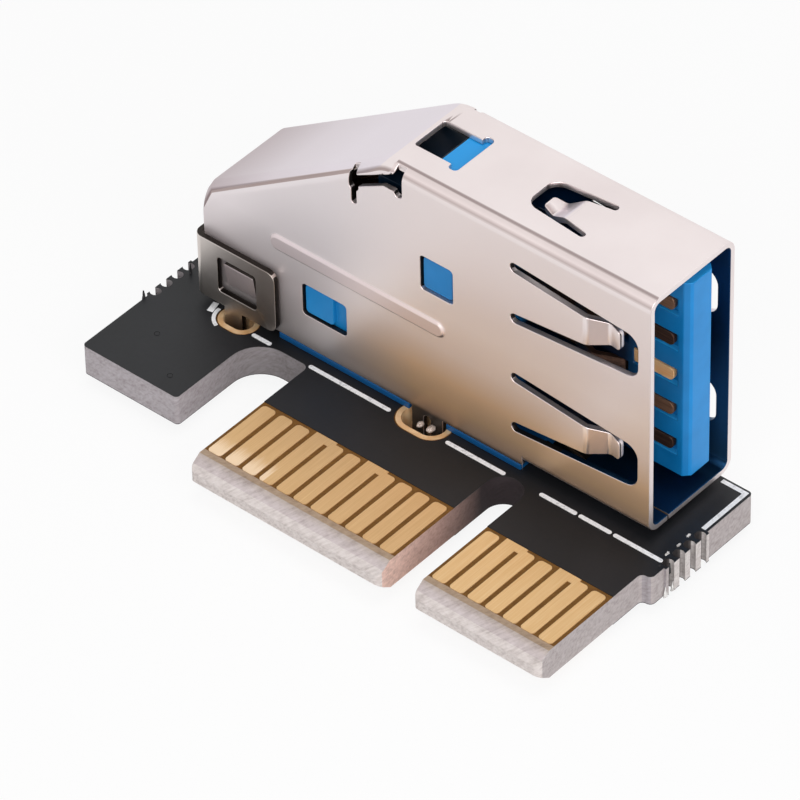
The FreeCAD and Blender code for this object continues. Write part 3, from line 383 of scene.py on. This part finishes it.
arc_middle = (-16.815 * mm, 8.53 * mm, ink_face)
arc_radius = 0.98 * mm
arc_width = 0.18 * mm
arc_start = math.radians(178)
arc_sweep = math.radians(72)
arc_steps = 12
section_x = arc_middle[0] + arc_radius * math.cos(arc_start)
section_y = arc_middle[1] + arc_radius * math.sin(arc_start)
section = (section_x, section_y, ink_face)
bpy.ops.object.select_all(action="DESELECT")
bpy.ops.mesh.primitive_plane_add(size=1, location=section, rotation=(math.radians(90), 0, 0))
arc = bpy.context.object
arc.name = "printed_arc"
bpy.ops.object.transform_apply(location=True, rotation=True, scale=True)
bpy.ops.object.mode_set(mode="EDIT")
bpy.ops.mesh.select_all(action="SELECT")
bpy.ops.transform.resize(value=(arc_width, 1.0, ink_height), center_override=section)
bpy.ops.transform.rotate(value=-(arc_start - math.pi), orient_axis="Z", center_override=section)
bpy.ops.mesh.spin(steps=arc_steps, angle=-arc_sweep, center=arc_middle, axis=(0, 0, 1))
bpy.ops.mesh.select_all(action="SELECT")
bpy.ops.mesh.normals_make_consistent(inside=False)
shaped(arc, white_ink)


# Edge contacts: copper fingers with nickel and hard gold plated on them. They wipe in the slot, so they
# carry fine lengthwise rubs; the tips of the first fingers carry a painted highlight.

# Hard gold, rubbed: pale yellow in fine lengthwise lines, painted paler on the short tongue as painted light,
# and with a painted highlight along a ragged line at the tips of the first fingers.
hard_gold, tree, shader, place = begin_material("rubbed_hard_gold")
rub_width = 0.04 * mm
rub_length = 2.5 * mm
lengthwise = add(tree, "Mapping", {"Vector": place, "Scale": (1 / rub_width, 1 / rub_length, 1 / rub_length)})
rubs = add(tree, "TexNoise", {"Vector": lengthwise, "Scale": 1.0, "Detail": 3.0})
worn = add(tree, "ValToRGB", {
    "Fac": rubs, "stops": [(0.3, "#d8b07a"), (0.55, "#deb783"), (0.75, "#e5c18c")]})
# Painted light: the fingers on the short tongue are painted paler.
lit_gold = add(tree, "ValToRGB", {
    "Fac": rubs, "stops": [(0.3, "#e8bf86"), (0.55, "#edc891"), (0.75, "#f2d2a0")]})
key_middle = 0.0
on_finger = add(tree, "SeparateXYZ", {"Vector": place}).outputs
short_tongue = add(tree, "Math", {"operation": "GREATER_THAN", 0: on_finger["X"], 1: key_middle})
gold = add(tree, "Mix", {"data_type": "RGBA", "Factor": short_tongue, "A": worn, "B": lit_gold})
# Painted highlight: a pale band along a ragged line at the tips of the first fingers.
highlight_right = -8.6 * mm
highlight_end = 1.9 * mm
highlight_fade = 0.35 * mm
wander = add(tree, "MapRange", {"Value": rubs, "To Min": -2 * highlight_fade, "To Max": 2 * highlight_fade})
ragged = add(tree, "Math", {"operation": "ADD", 0: on_finger["Y"], 1: wander})
tip = add(tree, "MapRange", {
    "Value": ragged, "From Min": highlight_end - highlight_fade, "From Max": highlight_end + highlight_fade,
    "To Min": 1.0, "To Max": 0.0})
first = add(tree, "Math", {"operation": "LESS_THAN", 0: on_finger["X"], 1: highlight_right})
tip_highlight = add(tree, "Math", {"operation": "MULTIPLY", 0: tip, 1: first})
gold = add(tree, "Mix", {"data_type": "RGBA", "Factor": tip_highlight, "A": gold, "B": linear("#f8dcb8")})
rubbed = add(tree, "MapRange", {"Value": rubs, "To Min": 0.34, "To Max": 0.48})
scored = add(tree, "Bump", {"Height": rubs, "Strength": 0.12, "Distance": 0.004 * mm})
feed(shader, {"Base Color": gold, "Metallic": 0.6, "Roughness": rubbed, "Normal": scored})
dress(hard_gold, "edge_contacts_top", "edge_contacts_bottom")


# Plated holes: the slots for the legs and the round holes for the contacts' tails, copper barrels with a
# thin gold flash, brighter and smoother than the fingers.

# Gold flash: so thin that it varies in patches from copper to pale gold.
gold_flash, tree, shader, place = begin_material("thin_gold_flash")
patch_size = 0.5 * mm
patches = add(tree, "TexNoise", {"Vector": place, "Scale": 1 / patch_size, "Detail": 3.0})
flash_tint = add(tree, "ValToRGB", {"Fac": patches, "stops": [(0.3, "#f2bf86"), (0.7, "#ffe0b6")]})
feed(shader, {"Base Color": flash_tint, "Metallic": 0.4, "Roughness": 0.28})
dress(gold_flash, "leg_slot_plating", "signal_hole_plating")


# Port shell: one steel sheet, stamped, folded, nickel plated and soldered in by its legs. The punched edges
# are burnished round, and the rolled sheet keeps a very fine grain that spreads its reflections.

edge_break = 0.035 * mm
merge_distance = 0.001 * mm
flat_angle = math.radians(1.0)


def softened(name, break_width, drawn=None, reach=0.0):
    """Copy of a CAD piece, its triangles merged to whole faces and its sharp edges broken, in its place.

    The corners that a given test picks are drawn to the rear by the reach first.
    """
    copy = bpy.data.objects.new(name + "_finished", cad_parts[name].data.copy())
    bpy.context.scene.collection.objects.link(copy)
    bpy.ops.object.select_all(action="DESELECT")
    copy.select_set(True)
    bpy.context.view_layer.objects.active = copy
    bpy.ops.object.mode_set(mode="EDIT")
    bpy.ops.mesh.select_all(action="SELECT")
    bpy.ops.mesh.remove_doubles(threshold=merge_distance)
    bpy.ops.mesh.dissolve_limited(angle_limit=flat_angle)
    bpy.ops.object.mode_set(mode="OBJECT")
    if drawn is not None:
        bpy.ops.object.mode_set(mode="EDIT")
        bpy.ops.mesh.select_mode(type="VERT")
        bpy.ops.mesh.select_all(action="DESELECT")
        bpy.ops.object.mode_set(mode="OBJECT")
        for vertex in copy.data.vertices:
            vertex.select = drawn(vertex.co)
        bpy.ops.object.mode_set(mode="EDIT")
        bpy.ops.transform.translate(value=(-reach, 0, 0))
        bpy.ops.object.mode_set(mode="OBJECT")
    broken = copy.modifiers.new("broken_edges", "BEVEL")
    broken.width = break_width
    broken.segments = 2
    broken.limit_method = "ANGLE"
    broken.angle_limit = crease
    broken.use_clamp_overlap = False
    bpy.ops.object.modifier_apply(modifier=broken.name)
    bpy.ops.object.shade_smooth_by_angle(angle=crease)
    even = copy.modifiers.new("even_normals", "WEIGHTED_NORMAL")
    even.keep_sharp = True
    bpy.ops.object.modifier_apply(modifier=even.name)
    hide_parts(name)
    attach(copy, "root")
    return copy


def finish_with(piece, material):
    """Gives a new piece its material."""
    piece.data.materials.clear()
    piece.data.materials.append(material)


# Rolled nickel plate: bright, faintly stained and grained along the sheet. Painted light lies on it:
# reflection lines on the bends, painted shade on the roof, a warm painted reflection on the near wall, darker
# and duller towards the board, painted shade on the proud parts, their undersides and the cut edges, and
# inside the shell painted shade with a painted blue reflection round the port.
nickel, tree, shader, place = begin_material("rolled_nickel_plate")
grain_width = 0.03 * mm
grain_length = 0.8 * mm
rolled = add(tree, "Mapping", {
    "Vector": place, "Scale": (1 / grain_length, 1 / grain_width, 1 / grain_width)})
grain = add(tree, "TexNoise", {"Vector": rolled, "Scale": 1.0, "Detail": 3.0})
stain_size = 5.0 * mm
stain = add(tree, "TexNoise", {"Vector": place, "Scale": 1 / stain_size, "Detail": 4.0})
bright = add(tree, "ValToRGB", {"Fac": stain, "stops": [(0.3, "#e8dddc"), (0.7, "#f0e6e5")]})
normal = add(tree, "NewGeometry", {}).outputs["Normal"]
facing = add(tree, "SeparateXYZ", {"Vector": normal}).outputs
on_shell = add(tree, "SeparateXYZ", {"Vector": place}).outputs
shell_rear = -18.75 * mm
roof_turn = -0.3
to_roof = add(tree, "Math", {"operation": "LESS_THAN", 0: facing["X"], 1: roof_turn})
from_rear = add(tree, "Math", {"operation": "DIVIDE", 0: on_shell["X"], 1: shell_rear})
# Painted shade: the roof is painted a greyer lavender than the top, darker towards the rear.
roof_painted_shade = add(tree, "ValToRGB", {
    "Fac": from_rear, "stops": [(0.6, "#e3dbe1"), (0.78, "#dbd2d7"), (0.98, "#bfb2b5")]})
bright = add(tree, "Mix", {"data_type": "RGBA", "Factor": to_roof, "A": bright, "B": roof_painted_shade})
tilt = add(tree, "Math", {"operation": "MULTIPLY", 0: facing["Y"], 1: -1.0})
# Painted reflection: dark and white lines drawn on the bends by their slope.
top_bend_reflection = add(tree, "ValToRGB", {"Fac": tilt, "stops": [
    (0.04, "#ffffff"), (0.16, "#b4abaa"), (0.26, "#b4abaa"), (0.42, "#faf6f5"),
    (0.7, "#faf6f5"), (0.86, "#d0c8c6"), (0.96, "#ffffff")]})
roof_bend_reflection = add(tree, "ValToRGB", {"Fac": tilt, "stops": [
    (0.72, "#ffffff"), (0.86, "#b6acaa"), (0.92, "#beb4b2"), (0.98, "#ffffff")]})
roof_bend_turn = -0.06
at_roof = add(tree, "Math", {"operation": "LESS_THAN", 0: facing["X"], 1: roof_bend_turn})
painted_bend_lines = add(tree, "Mix", {"data_type": "RGBA", "Factor": at_roof, "A": top_bend_reflection, "B": roof_bend_reflection})
bright = add(tree, "Mix", {
    "data_type": "RGBA", "blend_type": "MULTIPLY", "Factor": 1.0, "A": bright, "B": painted_bend_lines})
shell_top = 14.5 * mm
wall_face = 8.785 * mm
wall_turn = 0.93
to_front = add(tree, "Math", {"operation": "GREATER_THAN", 0: tilt, 1: wall_turn})
proud = add(tree, "Math", {"operation": "LESS_THAN", 0: on_shell["Y"], 1: wall_face})
to_front = add(tree, "Math", {"operation": "MAXIMUM", 0: to_front, 1: proud})
height = add(tree, "Math", {"operation": "DIVIDE", 0: on_shell["Z"], 1: shell_top})
# Painted reflection on the near wall and proud parts: warm towards the front, grey towards the rear, and
# darkest near the board as painted shade.
warm_painted_reflection = add(tree, "ValToRGB", {"Fac": height, "stops": [
    (0.085, "#3f3a36"), (0.1, "#98806e"), (0.17, "#c6a583"), (0.26, "#dfbc99"),
    (0.38, "#ead9d0"), (0.52, "#eee3e0"), (0.65, "#e9dedd")]})
grey_painted_reflection = add(tree, "ValToRGB", {
    "Fac": height, "stops": [(0.1, "#8e8887"), (0.3, "#ccc3c4"), (0.5, "#e7dfe1")]})
warm_end = 0.34
grey_start = 0.6
grey_share = add(tree, "MapRange", {"Value": from_rear, "From Min": warm_end, "From Max": grey_start})
wall_painted_reflection = add(tree, "Mix", {"data_type": "RGBA", "Factor": grey_share, "A": warm_painted_reflection, "B": grey_painted_reflection})
bright = add(tree, "Mix", {"data_type": "RGBA", "Factor": to_front, "A": bright, "B": wall_painted_reflection})
dull_end = 0.28
bright_start = 0.6
plate_metal = 0.95
# The wall is less metallic towards the board, so that its painted reflection shows.
wall_metal = add(tree, "MapRange", {
    "Value": height, "From Min": dull_end, "From Max": bright_start, "To Min": 0.5, "To Max": 0.92})
metal = add(tree, "Mix", {"data_type": "FLOAT", "Factor": to_front, "A": plate_metal, "B": wall_metal})
shell_middle = (0, 11.675 * mm, 5.0 * mm)
across_shell = (0.1, 1.0, 1.0)
wall_inside = 2.35 * mm
floor_inside = 1.7 * mm
from_middle = add(tree, "VectorMath", {"operation": "SUBTRACT", 0: place, 1: shell_middle})
from_middle = add(tree, "VectorMath", {"operation": "MULTIPLY", 0: from_middle, 1: across_shell})
outward = add(tree, "VectorMath", {"operation": "DOT_PRODUCT", 0: from_middle, 1: normal})
inward = add(tree, "Math", {"operation": "LESS_THAN", 0: outward, 1: 0.0})
aside = add(tree, "SeparateXYZ", {"Vector": from_middle}).outputs["Y"]
aside = add(tree, "Math", {"operation": "ABSOLUTE", 0: aside})
at_wall = add(tree, "Math", {"operation": "GREATER_THAN", 0: aside, 1: wall_inside})
at_floor = add(tree, "Math", {"operation": "LESS_THAN", 0: on_shell["Z"], 1: floor_inside})
at_wall = add(tree, "Math", {"operation": "MAXIMUM", 0: at_wall, 1: at_floor})
inner = add(tree, "Math", {"operation": "MULTIPLY", 0: inward, 1: at_wall})
# Painted shade: the proud bead and lugs are painted a little darker.
bright = add(tree, "Mix", {
    "data_type": "RGBA", "blend_type": "MULTIPLY", "Factor": proud, "A": bright, "B": linear("#f4eeee")})
# Painted shade on the undersides of the proud bead and lugs.
flank_turn = -0.25
shaded_flank = add(tree, "Math", {"operation": "LESS_THAN", 0: facing["Z"], 1: flank_turn})
shaded_flank = add(tree, "Math", {"operation": "MULTIPLY", 0: shaded_flank, 1: proud})
bright = add(tree, "Mix", {"data_type": "RGBA", "Factor": shaded_flank, "A": bright, "B": linear("#8d827e")})
cut_start = 8.815 * mm
cut_end = 9.3 * mm
cut_turn = 0.2
lip_start = 6.9 * mm
below_bend = 13.6 * mm
level_turn = 0.6
# Painted shade: the cut edges of the windows and slots are painted dark.
shaded_cut = add(tree, "Math", {"operation": "GREATER_THAN", 0: on_shell["Y"], 1: cut_start})
shallow = add(tree, "Math", {"operation": "LESS_THAN", 0: on_shell["Y"], 1: cut_end})
edgewise = add(tree, "Math", {"operation": "ABSOLUTE", 0: facing["Y"]})
edgewise = add(tree, "Math", {"operation": "LESS_THAN", 0: edgewise, 1: cut_turn})
off_lip = add(tree, "Math", {"operation": "LESS_THAN", 0: on_shell["X"], 1: lip_start})
low = add(tree, "Math", {"operation": "LESS_THAN", 0: on_shell["Z"], 1: below_bend})
not_level = add(tree, "Math", {"operation": "LESS_THAN", 0: facing["Z"], 1: level_turn})
for share in (shallow, edgewise, off_lip, low, not_level):
    shaded_cut = add(tree, "Math", {"operation": "MULTIPLY", 0: shaded_cut, 1: share})
bright = add(tree, "Mix", {"data_type": "RGBA", "Factor": shaded_cut, "A": bright, "B": linear("#4c4644")})
port_start = 2.0 * mm
in_port = add(tree, "Math", {"operation": "GREATER_THAN", 0: on_shell["X"], 1: port_start})
# Painted shade inside the shell: dark grey behind the port, and a painted blue reflection of the housing
# within it.
inner_shade_and_reflection = add(tree, "ValToRGB", {"Fac": in_port, "stops": [(0.4, "#4a4440"), (0.6, "#1f4668")]})
plated = add(tree, "Mix", {"data_type": "RGBA", "Factor": inner, "A": bright, "B": inner_shade_and_reflection})
spread = add(tree, "MapRange", {"Value": grain, "To Min": 0.36, "To Max": 0.44})
combed = add(tree, "Bump", {"Height": grain, "Strength": 0.03, "Distance": 0.002 * mm})
feed(shader, {"Base Color": plated, "Metallic": metal, "Roughness": spread, "Normal": combed})
finish_with(softened("port_shell", edge_break), nickel)


# Rear cover: a second folded sheet of the same plate. It closes the back of the shell and clips over the
# lugs on its sides through a window in each flap.

# Dull nickel plate: greyer than the shell and rubbed in patches, with painted light on it: a painted
# reflection darker towards the board, a painted sheen brighter to the rear, and painted shade on cut edges.
dull_nickel, tree, shader, place = begin_material("dull_nickel_plate")
cover_top = 7.0 * mm
rub_size = 0.6 * mm
on_cover = add(tree, "SeparateXYZ", {"Vector": place}).outputs
height = add(tree, "Math", {"operation": "DIVIDE", 0: on_cover["Z"], 1: cover_top})
rub = add(tree, "TexNoise", {"Vector": place, "Scale": 1 / rub_size, "Detail": 4.0})
rub = add(tree, "MapRange", {"Value": rub, "To Min": -0.08, "To Max": 0.08})
height = add(tree, "Math", {"operation": "ADD", 0: height, 1: rub})
# Painted reflection: the flap is painted darker towards the board, mottled by the rubbing.
plate = add(tree, "ValToRGB", {
    "Fac": height, "stops": [(0.2, "#aaa49e"), (0.5, "#d8d0cb"), (0.9, "#d4ccc7")]})
flap_rear = -18.7 * mm
flap_front = -14.9 * mm
# Painted sheen: the flaps are painted brighter towards the rear.
forward = add(tree, "MapRange", {"Value": on_cover["X"], "From Min": flap_rear, "From Max": flap_front})
painted_sheen = add(tree, "ValToRGB", {"Fac": forward, "stops": [(0.2, "#ffffff"), (1.0, "#c6c0bd")]})
plate = add(tree, "Mix", {
    "data_type": "RGBA", "blend_type": "MULTIPLY", "Factor": 1.0, "A": plate, "B": painted_sheen})
flap_cut_turn = 0.8
facing = add(tree, "SeparateXYZ", {"Vector": add(tree, "NewGeometry", {}).outputs["Normal"]}).outputs
# Painted shade: edges facing up and to the right are painted dark, as the gap to the shell.
shaded_cut_edge = add(tree, "Math", {"operation": "MAXIMUM", 0: facing["X"], 1: facing["Z"]})
shaded_cut_edge = add(tree, "Math", {"operation": "GREATER_THAN", 0: shaded_cut_edge, 1: flap_cut_turn})
plate = add(tree, "Mix", {"data_type": "RGBA", "Factor": shaded_cut_edge, "A": plate, "B": linear("#37322f")})
feed(shader, {"Base Color": plate, "Metallic": 1.0, "Roughness": 0.4})
finish_with(softened("rear_cover", edge_break), dull_nickel)


# Housing and tail spacer: two blue mouldings of glass-filled nylon, pressed into the shell. Smooth from the
# tool, with a soft gloss and slightly darker flow marks.

moulding_break = 0.05 * mm
foot_top = 1.6 * mm

# Moulded nylon: clear blue with a soft gloss and a faint skin from the tool. Painted light on it: paler on
# top, a little darker on the near faces, and painted shade deep inside the port, at the foot and, almost
# black, behind the block.
blue_nylon, tree, shader, place = begin_material("moulded_blue_nylon")
flow_size = 2.2 * mm
flow = add(tree, "TexNoise", {"Vector": place, "Scale": 1 / flow_size, "Detail": 3.0})
blue = add(tree, "ValToRGB", {"Fac": flow, "stops": [(0.3, "#0e80c6"), (0.7, "#1a90da")]})
facing = add(tree, "SeparateXYZ", {"Vector": add(tree, "NewGeometry", {}).outputs["Normal"]}).outputs
on_housing = add(tree, "SeparateXYZ", {"Vector": place}).outputs
# Painted light: faces turned up are painted paler.
lit_top_face = add(tree, "Math", {"operation": "GREATER_THAN", 0: facing["Z"], 1: mostly})
blue = add(tree, "Mix", {"data_type": "RGBA", "Factor": lit_top_face, "A": blue, "B": linear("#2aa0ea")})
# Painted shade: faces turned to the front are painted a little darker.
shaded_near_face = add(tree, "Math", {"operation": "LESS_THAN", 0: facing["Y"], 1: -mostly})
blue = add(tree, "Mix", {
    "data_type": "RGBA", "blend_type": "MULTIPLY", "Factor": shaded_near_face, "A": blue, "B": linear("#e2e6e8")})
block_rear = -6.3 * mm
block_front = -2.6 * mm
tongue_end = 6.4 * mm
# Painted shade: the housing inside the port is painted much darker, lightening again towards the tongue's
# end.
in_port = add(tree, "MapRange", {"Value": on_housing["X"], "From Min": block_front, "From Max": tongue_end})
port_shade = add(tree, "ValToRGB", {"Fac": in_port, "stops": [
    (0.0, "#ffffff"), (0.03, "#1c2a34"), (0.65, "#2c3e4a"), (0.87, "#ffffff")]})
blue = add(tree, "Mix", {
    "data_type": "RGBA", "blend_type": "MULTIPLY", "Factor": 1.0, "A": blue, "B": port_shade})
# Painted shade: the housing behind the block is painted almost black.
behind = add(tree, "Math", {"operation": "LESS_THAN", 0: on_housing["X"], 1: block_rear})
blue = add(tree, "Mix", {"data_type": "RGBA", "Factor": behind, "A": blue, "B": linear("#051b2c")})
# Painted shade: the foot, low under the shell, is painted deep blue.
shaded_foot = add(tree, "Math", {"operation": "LESS_THAN", 0: on_housing["Z"], 1: foot_top})
blue = add(tree, "Mix", {"data_type": "RGBA", "Factor": shaded_foot, "A": blue, "B": linear("#0b5086")})
tool_size = 0.12 * mm
tool = add(tree, "TexNoise", {"Vector": place, "Scale": 1 / tool_size, "Detail": 2.0})
etched = add(tree, "Bump", {"Height": tool, "Strength": 0.12, "Distance": 0.006 * mm})
feed(shader, {"Base Color": blue, "Roughness": 0.36, "Specular IOR Level": 0.3, "Normal": etched})
finish_with(softened("insulator_housing", moulding_break), blue_nylon)

# The spacer's nylon: the same blue a shade deeper, and painted shade, deep blue, at the foot.
spacer_nylon, tree, shader, place = begin_material("moulded_blue_nylon_spacer")
flow = add(tree, "TexNoise", {"Vector": place, "Scale": 1 / flow_size, "Detail": 3.0})
blue = add(tree, "ValToRGB", {"Fac": flow, "stops": [(0.3, "#0f7cc0"), (0.7, "#1a8ad0")]})
on_spacer = add(tree, "SeparateXYZ", {"Vector": place}).outputs
# Painted shade: the foot, low under the shell, is painted deep blue.
shaded_foot = add(tree, "Math", {"operation": "LESS_THAN", 0: on_spacer["Z"], 1: foot_top})
blue = add(tree, "Mix", {"data_type": "RGBA", "Factor": shaded_foot, "A": blue, "B": linear("#0b5086")})
feed(shader, {"Base Color": blue, "Roughness": 0.42, "Specular IOR Level": 0.3})

# The rear end of the foot and the front ends of the barbs are drawn back; the holes for the tails stay.
spacer_reach = 0.75 * mm
foot_end = 0.25 * mm
foot_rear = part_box("tail_spacer")[0][0] + foot_end
barb_front = -10.35 * mm
barb_corner = -10.65 * mm
tower_near = 9.2 * mm
tower_far = 14.15 * mm


def at_spacer_end(corner):
    """Whether a corner is on the rear end of the foot, or on the front end of the barb on either side."""
    beside_tower = corner.y < tower_near or corner.y > tower_far
    return corner.x < foot_rear or (beside_tower and barb_corner < corner.x < barb_front)


spacer = softened("tail_spacer", moulding_break, at_spacer_end, spacer_reach)
finish_with(spacer, spacer_nylon)


# Port contacts: nine stamped strips of phosphor bronze, pressed into the housing. Their tints are painted
# light:
# a painted highlight makes the middle one of the five at the front gold, and painted shade makes the others
# brown.

drawn_width = 0.05 * mm
drawn_length = 1.2 * mm
strip_break = 0.02 * mm


def bronze(name, dark, pale, metal, spread):
    """Drawn bronze with fine lengthwise lines between two tints, its share of metal and its roughness."""
    material, tree, shader, place = begin_material(name)
    drawn = add(tree, "Mapping", {
        "Vector": place, "Scale": (1 / drawn_length, 1 / drawn_width, 1 / drawn_width)})
    lines = add(tree, "TexNoise", {"Vector": drawn, "Scale": 1.0, "Detail": 3.0})
    tint = add(tree, "ValToRGB", {"Fac": lines, "stops": [(0.3, dark), (0.7, pale)]})
    feed(shader, {"Base Color": tint, "Metallic": metal, "Roughness": spread})
    return material


# Phosphor bronze, drawn, in three tints of painted light: painted shade makes most of them dark brown and two
# a paler brown, and a painted highlight makes one gold.
shaded_bronze = bronze("shaded_brown_bronze", dark="#5a4236", pale="#7a5b4d", metal=0.8, spread=0.42)
half_lit_bronze = bronze("half_lit_brown_bronze", dark="#8a6650", pale="#ad846b", metal=0.7, spread=0.42)
lit_bronze = bronze("highlit_gold_bronze", dark="#ffbc7c", pale="#ffd4a2", metal=0.2, spread=0.4)
# Painted light: each contact gets the shaded, half-lit or highlit tint of the same bronze.
painted_light_by_contact = {"superspeed_contact_2": half_lit_bronze, "superspeed_contact_3": lit_bronze,
            "superspeed_contact_5": half_lit_bronze}
contact_names = [f"superspeed_contact_{number}" for number in range(1, 6)]
contact_names += [f"usb2_contact_{number}" for number in range(1, 5)]
for name in contact_names:
    finish_with(softened(name, strip_break), painted_light_by_contact.get(name, shaded_bronze))


# Solder: lead-free wave solder below every ring, drawn up round the leg or tail. Bright, with a slightly
# frosted skin.

# Lead-free solder: silver grey, with a frosted skin of fine crystals that dulls it in spots.
frosted_solder, tree, shader, place = begin_material("frosted_solder")
frost_size = 0.14 * mm
frost = add(tree, "TexNoise", {"Vector": place, "Scale": 1 / frost_size, "Detail": 4.0})
solder_tint = add(tree, "ValToRGB", {"Fac": frost, "stops": [(0.3, "#b4b6b8"), (0.7, "#d2d3d4")]})
frosting = add(tree, "MapRange", {"Value": frost, "To Min": 0.22, "To Max": 0.42})
skin = add(tree, "Bump", {"Height": frost, "Strength": 0.3, "Distance": 0.01 * mm})
feed(shader, {"Base Color": solder_tint, "Metallic": 1.0, "Roughness": frosting, "Normal": skin})
dress(frosted_solder, "leg_solder", "signal_solder")


# Solder beads: two small drops that rose through the middle leg's slot, one at each prong of the leg. They
# cooled rough and dull, with a crust of flux.

bead_height = 0.66 * mm
bead_stretch = (0.9, 1.3, 0.7)
bead_unevenness = 0.025 * mm
beads = [(-5.78, 8.5, 0.32), (-5.22, 8.56, 0.38)]

# Solder under flux: pale, blotched with brown, and only a little metallic.
dull_drop, tree, shader, place = begin_material("crusted_solder_drop")
crust_size = 0.08 * mm
crust = add(tree, "TexNoise", {"Vector": place, "Scale": 1 / crust_size, "Detail": 3.0})
crust_tint = add(tree, "ValToRGB", {"Fac": crust, "stops": [(0.35, "#a58c7c"), (0.65, "#e8dcd4")]})
feed(shader, {"Base Color": crust_tint, "Metallic": 0.3, "Roughness": 0.5})
for number, (bead_x, bead_y, bead_width) in enumerate(beads, start=1):
    bpy.ops.object.select_all(action="DESELECT")
    bead_middle = (bead_x * mm, bead_y * mm, bead_height)
    bpy.ops.mesh.primitive_ico_sphere_add(subdivisions=3, radius=bead_width / 2 * mm, location=bead_middle)
    bead = bpy.context.object
    bead.name = f"solder_bead_{number}"
    bpy.ops.object.mode_set(mode="EDIT")
    bpy.ops.mesh.select_all(action="SELECT")
    bpy.ops.transform.resize(value=bead_stretch, center_override=bead_middle)
    bpy.ops.transform.vertex_random(offset=bead_unevenness, seed=number)
    shaped(bead, dull_drop)


# Floor: a plain white sheet under the card. The camera and the metal see it almost white, and it keeps part
# of the card's shadow.

floor_size = 600 * mm
whiteness = 0.88


def background_rays(tree):
    """Share of the rays that see the background itself: from the camera, mirrored, or let through."""
    rays = add(tree, "LightPath", {}).outputs
    seen = add(tree, "Math", {"operation": "MAXIMUM", 0: rays["Is Camera Ray"], 1: rays["Is Glossy Ray"]})
    return add(tree, "Math", {"operation": "MAXIMUM", 0: seen, 1: rays["Is Transmission Ray"]})


bpy.ops.object.select_all(action="DESELECT")
bpy.ops.mesh.primitive_plane_add(size=floor_size, location=(0, 0, cad_box[0][2]))
floor = bpy.context.object
floor.name = "floor"

# Matt white sheet: part of it glows white to those rays, so that only a soft shadow is left.
white_sheet, tree, shader, place = begin_material("white_sheet")
feed(shader, {"Base Color": linear("#f4f4f4"), "Roughness": 0.9, "Specular IOR Level": 0.0})
seen = add(tree, "Math", {"operation": "MULTIPLY", 0: background_rays(tree), 1: whiteness})
glow = add(tree, "Emission", {"Color": (1, 1, 1, 1), "Strength": 1.0})
sheet = add(tree, "MixShader", {0: seen, 1: shader, 2: glow})
feed(tree.nodes["Material Output"], {"Surface": sheet})
floor.data.materials.append(white_sheet)


# Light: a white surround, which the camera and the metal see as white, with soft lamps overhead and in
# front, and a wide one low on the right for the edges and the mouth. The surround is darker overhead, which
# draws the bends.

world = bpy.data.worlds.new("white_surround")
bpy.context.scene.world = world
world.use_nodes = True
tree = world.node_tree
fill_level = 0.4
overhead_start = 0.78
overhead_full = 0.9
overhead_level = 0.5
level = add(tree, "MapRange", {"Value": background_rays(tree), "To Min": fill_level, "To Max": 1.0})
aim = add(tree, "SeparateXYZ", {"Vector": add(tree, "TexCoord", {}).outputs["Generated"]}).outputs["Z"]
overhead = add(tree, "MapRange", {
    "Value": aim, "From Min": overhead_start, "From Max": overhead_full,
    "To Min": 1.0, "To Max": overhead_level})
level = add(tree, "Math", {"operation": "MULTIPLY", 0: level, 1: overhead})
feed(tree.nodes["Background"], {"Color": (1, 1, 1, 1), "Strength": level})

card_middle = Vector((-6 * mm, 8 * mm, 5 * mm))


def soft_lamp(name, offset, size, power):
    """Square area lamp at an offset from the middle of the card, turned towards it."""
    lamp = bpy.data.lights.new(name, "AREA")
    lamp.size = size
    lamp.energy = power
    holder = bpy.data.objects.new(name, lamp)
    holder.location = card_middle + Vector(offset)
    holder.rotation_euler = (-Vector(offset)).to_track_quat("-Z", "Y").to_euler()
    bpy.context.scene.collection.objects.link(holder)


soft_lamp("overhead_softbox", offset=(10 * mm, 30 * mm, 330 * mm), size=160 * mm, power=0.25)
soft_lamp("front_softbox", offset=(120 * mm, -220 * mm, 220 * mm), size=160 * mm, power=0.4)
soft_lamp("right_softbox", offset=(260 * mm, -80 * mm, 130 * mm), size=200 * mm, power=0.3)


# Camera: placed and turned as the photograph's, with a long lens. Yaw and pitch turn it towards the card, and
# the small roll levels it as in the photograph.

camera_place = Vector((147.92 * mm, -167.35 * mm, 209.03 * mm))
yaw = math.radians(41.372)
pitch = math.radians(41.537)
roll = math.radians(-1.360)
right = Vector((math.cos(yaw), math.sin(yaw), 0))
back = Vector((math.sin(yaw) * math.cos(pitch), -math.cos(yaw) * math.cos(pitch), math.sin(pitch)))
up = back.cross(right)
rolled_right = right * math.cos(roll) + up * math.sin(roll)
rolled_up = up * math.cos(roll) - right * math.sin(roll)
lens = bpy.data.cameras.new("camera")
lens.sensor_width = 36.0
lens.lens = 316.3
lens.clip_start = 1 * mm
camera = bpy.data.objects.new("camera", lens)
turn = Matrix((rolled_right, rolled_up, back)).transposed().to_4x4()
camera.matrix_world = Matrix.Translation(camera_place) @ turn
bpy.context.scene.collection.objects.link(camera)
bpy.context.scene.camera = camera
bpy.context.scene.view_settings.view_transform = "Standard"
